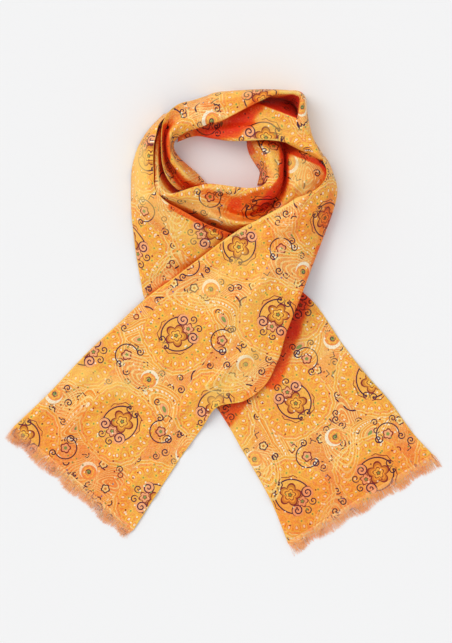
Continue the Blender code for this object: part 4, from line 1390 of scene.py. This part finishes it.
# Each piece of cloth: its name, the solids it stands for, the sections it is drawn through, rows and columns,
# the side its outer face is on, its free edges and where its print starts
BOTH_EDGES = ("first", "last")
LOOP_RAILS = (rails(BACK_BAND, back_section), rails(TOP_BAND, top_section), rails(LEFT_INNER, ring_section))
PIECES = (
    ("lower_cloth", ("back_tail", "left_panel"), rails(BACK_TAIL + LEFT_PANEL, panel_section),
     250, 84, -1, BOTH_EDGES, (879.2, -561.2)),
    ("loop_cloth", ("back_band", "top_band", "left_inner_band"), np.concatenate(LOOP_RAILS),
     230, 96, -1, ("last",), (310, 70)),
    ("front_loop_cloth", ("front_band", "right_band"), rails(FRONT_BAND + RIGHT_BAND, band_section),
     200, 84, -1, ("last",), (336.6, 175.3)),
    ("inner_cloth", ("inner_turn",), rails(INNER_TURN, inner_section), 44, 22, 1, (), (700, 90)),
    ("front_cloth", ("front_tail", "right_shoulder"), rails(FRONT_TAIL, tail_section),
     250, 88, -1, BOTH_EDGES, (779.5, -373.3)),
)

# The fringe of a piece of cloth, the solid it stands for, and the corners that it runs between
FRINGES = {
    "front_cloth": ("front_fringe", "fringe_front", FRONT_TAIL[0][0:2], FRONT_TAIL[0][3:5]),
    "lower_cloth": ("back_fringe", "fringe_back", BACK_TAIL[0][0:2], BACK_TAIL[0][2:4]),
}

for thing in list(bpy.data.objects):
    if thing.type in ("LIGHT", "CAMERA"):
        bpy.data.objects.remove(thing, do_unlink=True)

FLOOR_SIZE = 8
FLOOR_HEIGHT = -0.0001
bpy.ops.mesh.primitive_plane_add(size=FLOOR_SIZE, location=(0, 0, FLOOR_HEIGHT))
floor = bpy.context.object
floor.name = "floor"
floor.data.materials.append(white_surface())

printed = silk()
threads = frayed_silk()
source = random.Random(THREAD_SEED)
cloths = []
for name, solids, chain, rows, columns, side, free, origin in PIECES:
    grid = creased(sheet_grid(chain, rows, columns), name, free)
    cloth, measured, end_rows = shell(name, grid, side, free, origin)
    cloth.data.materials.append(printed)
    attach(cloth, "root")
    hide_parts(*solids)
    cloths.append(cloth)
    if name in FRINGES:
        label, solid, start, end = FRINGES[name]
        strands = fringe(label, start, end, end_rows, source)
        strands.data.materials.append(threads)
        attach(strands, "root")
        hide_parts(solid)

paint_shade_and_highlights(cloths)

# Light: a soft sun from the upper left and a white room
world = bpy.data.worlds.new("room")
world.use_nodes = True
room = world.node_tree.nodes["Background"]
room.inputs["Color"].default_value = (0.97, 0.98, 1.0, 1)
room.inputs["Strength"].default_value = 0.79
bpy.context.scene.world = world
lamp = bpy.data.lights.new("sun", "SUN")
lamp.energy = 1.1
lamp.angle = math.radians(38)
lamp.color = (1.0, 0.985, 0.96)
sun = bpy.data.objects.new("sun", lamp)
sun.rotation_euler = (0, math.radians(-42), math.radians(-38))
bpy.context.scene.collection.objects.link(sun)

# The camera looks straight down on a sheet of this size, in grid units
VIEW_WIDTH = 452
VIEW_HEIGHT = 643
CAMERA_HEIGHT = 6.0
SENSOR_WIDTH = 36
lens = bpy.data.cameras.new("camera")
lens.sensor_width = SENSOR_WIDTH
lens.lens = SENSOR_WIDTH * CAMERA_HEIGHT / (VIEW_HEIGHT * GRID)
lens.clip_end = 20
camera = bpy.data.objects.new("camera", lens)
middle = place(VIEW_WIDTH / 2, VIEW_HEIGHT / 2, 0)
camera.location = (middle[0], middle[1], CAMERA_HEIGHT)
bpy.context.scene.collection.objects.link(camera)
bpy.context.scene.camera = camera
bpy.context.scene.view_settings.view_transform = "Standard"
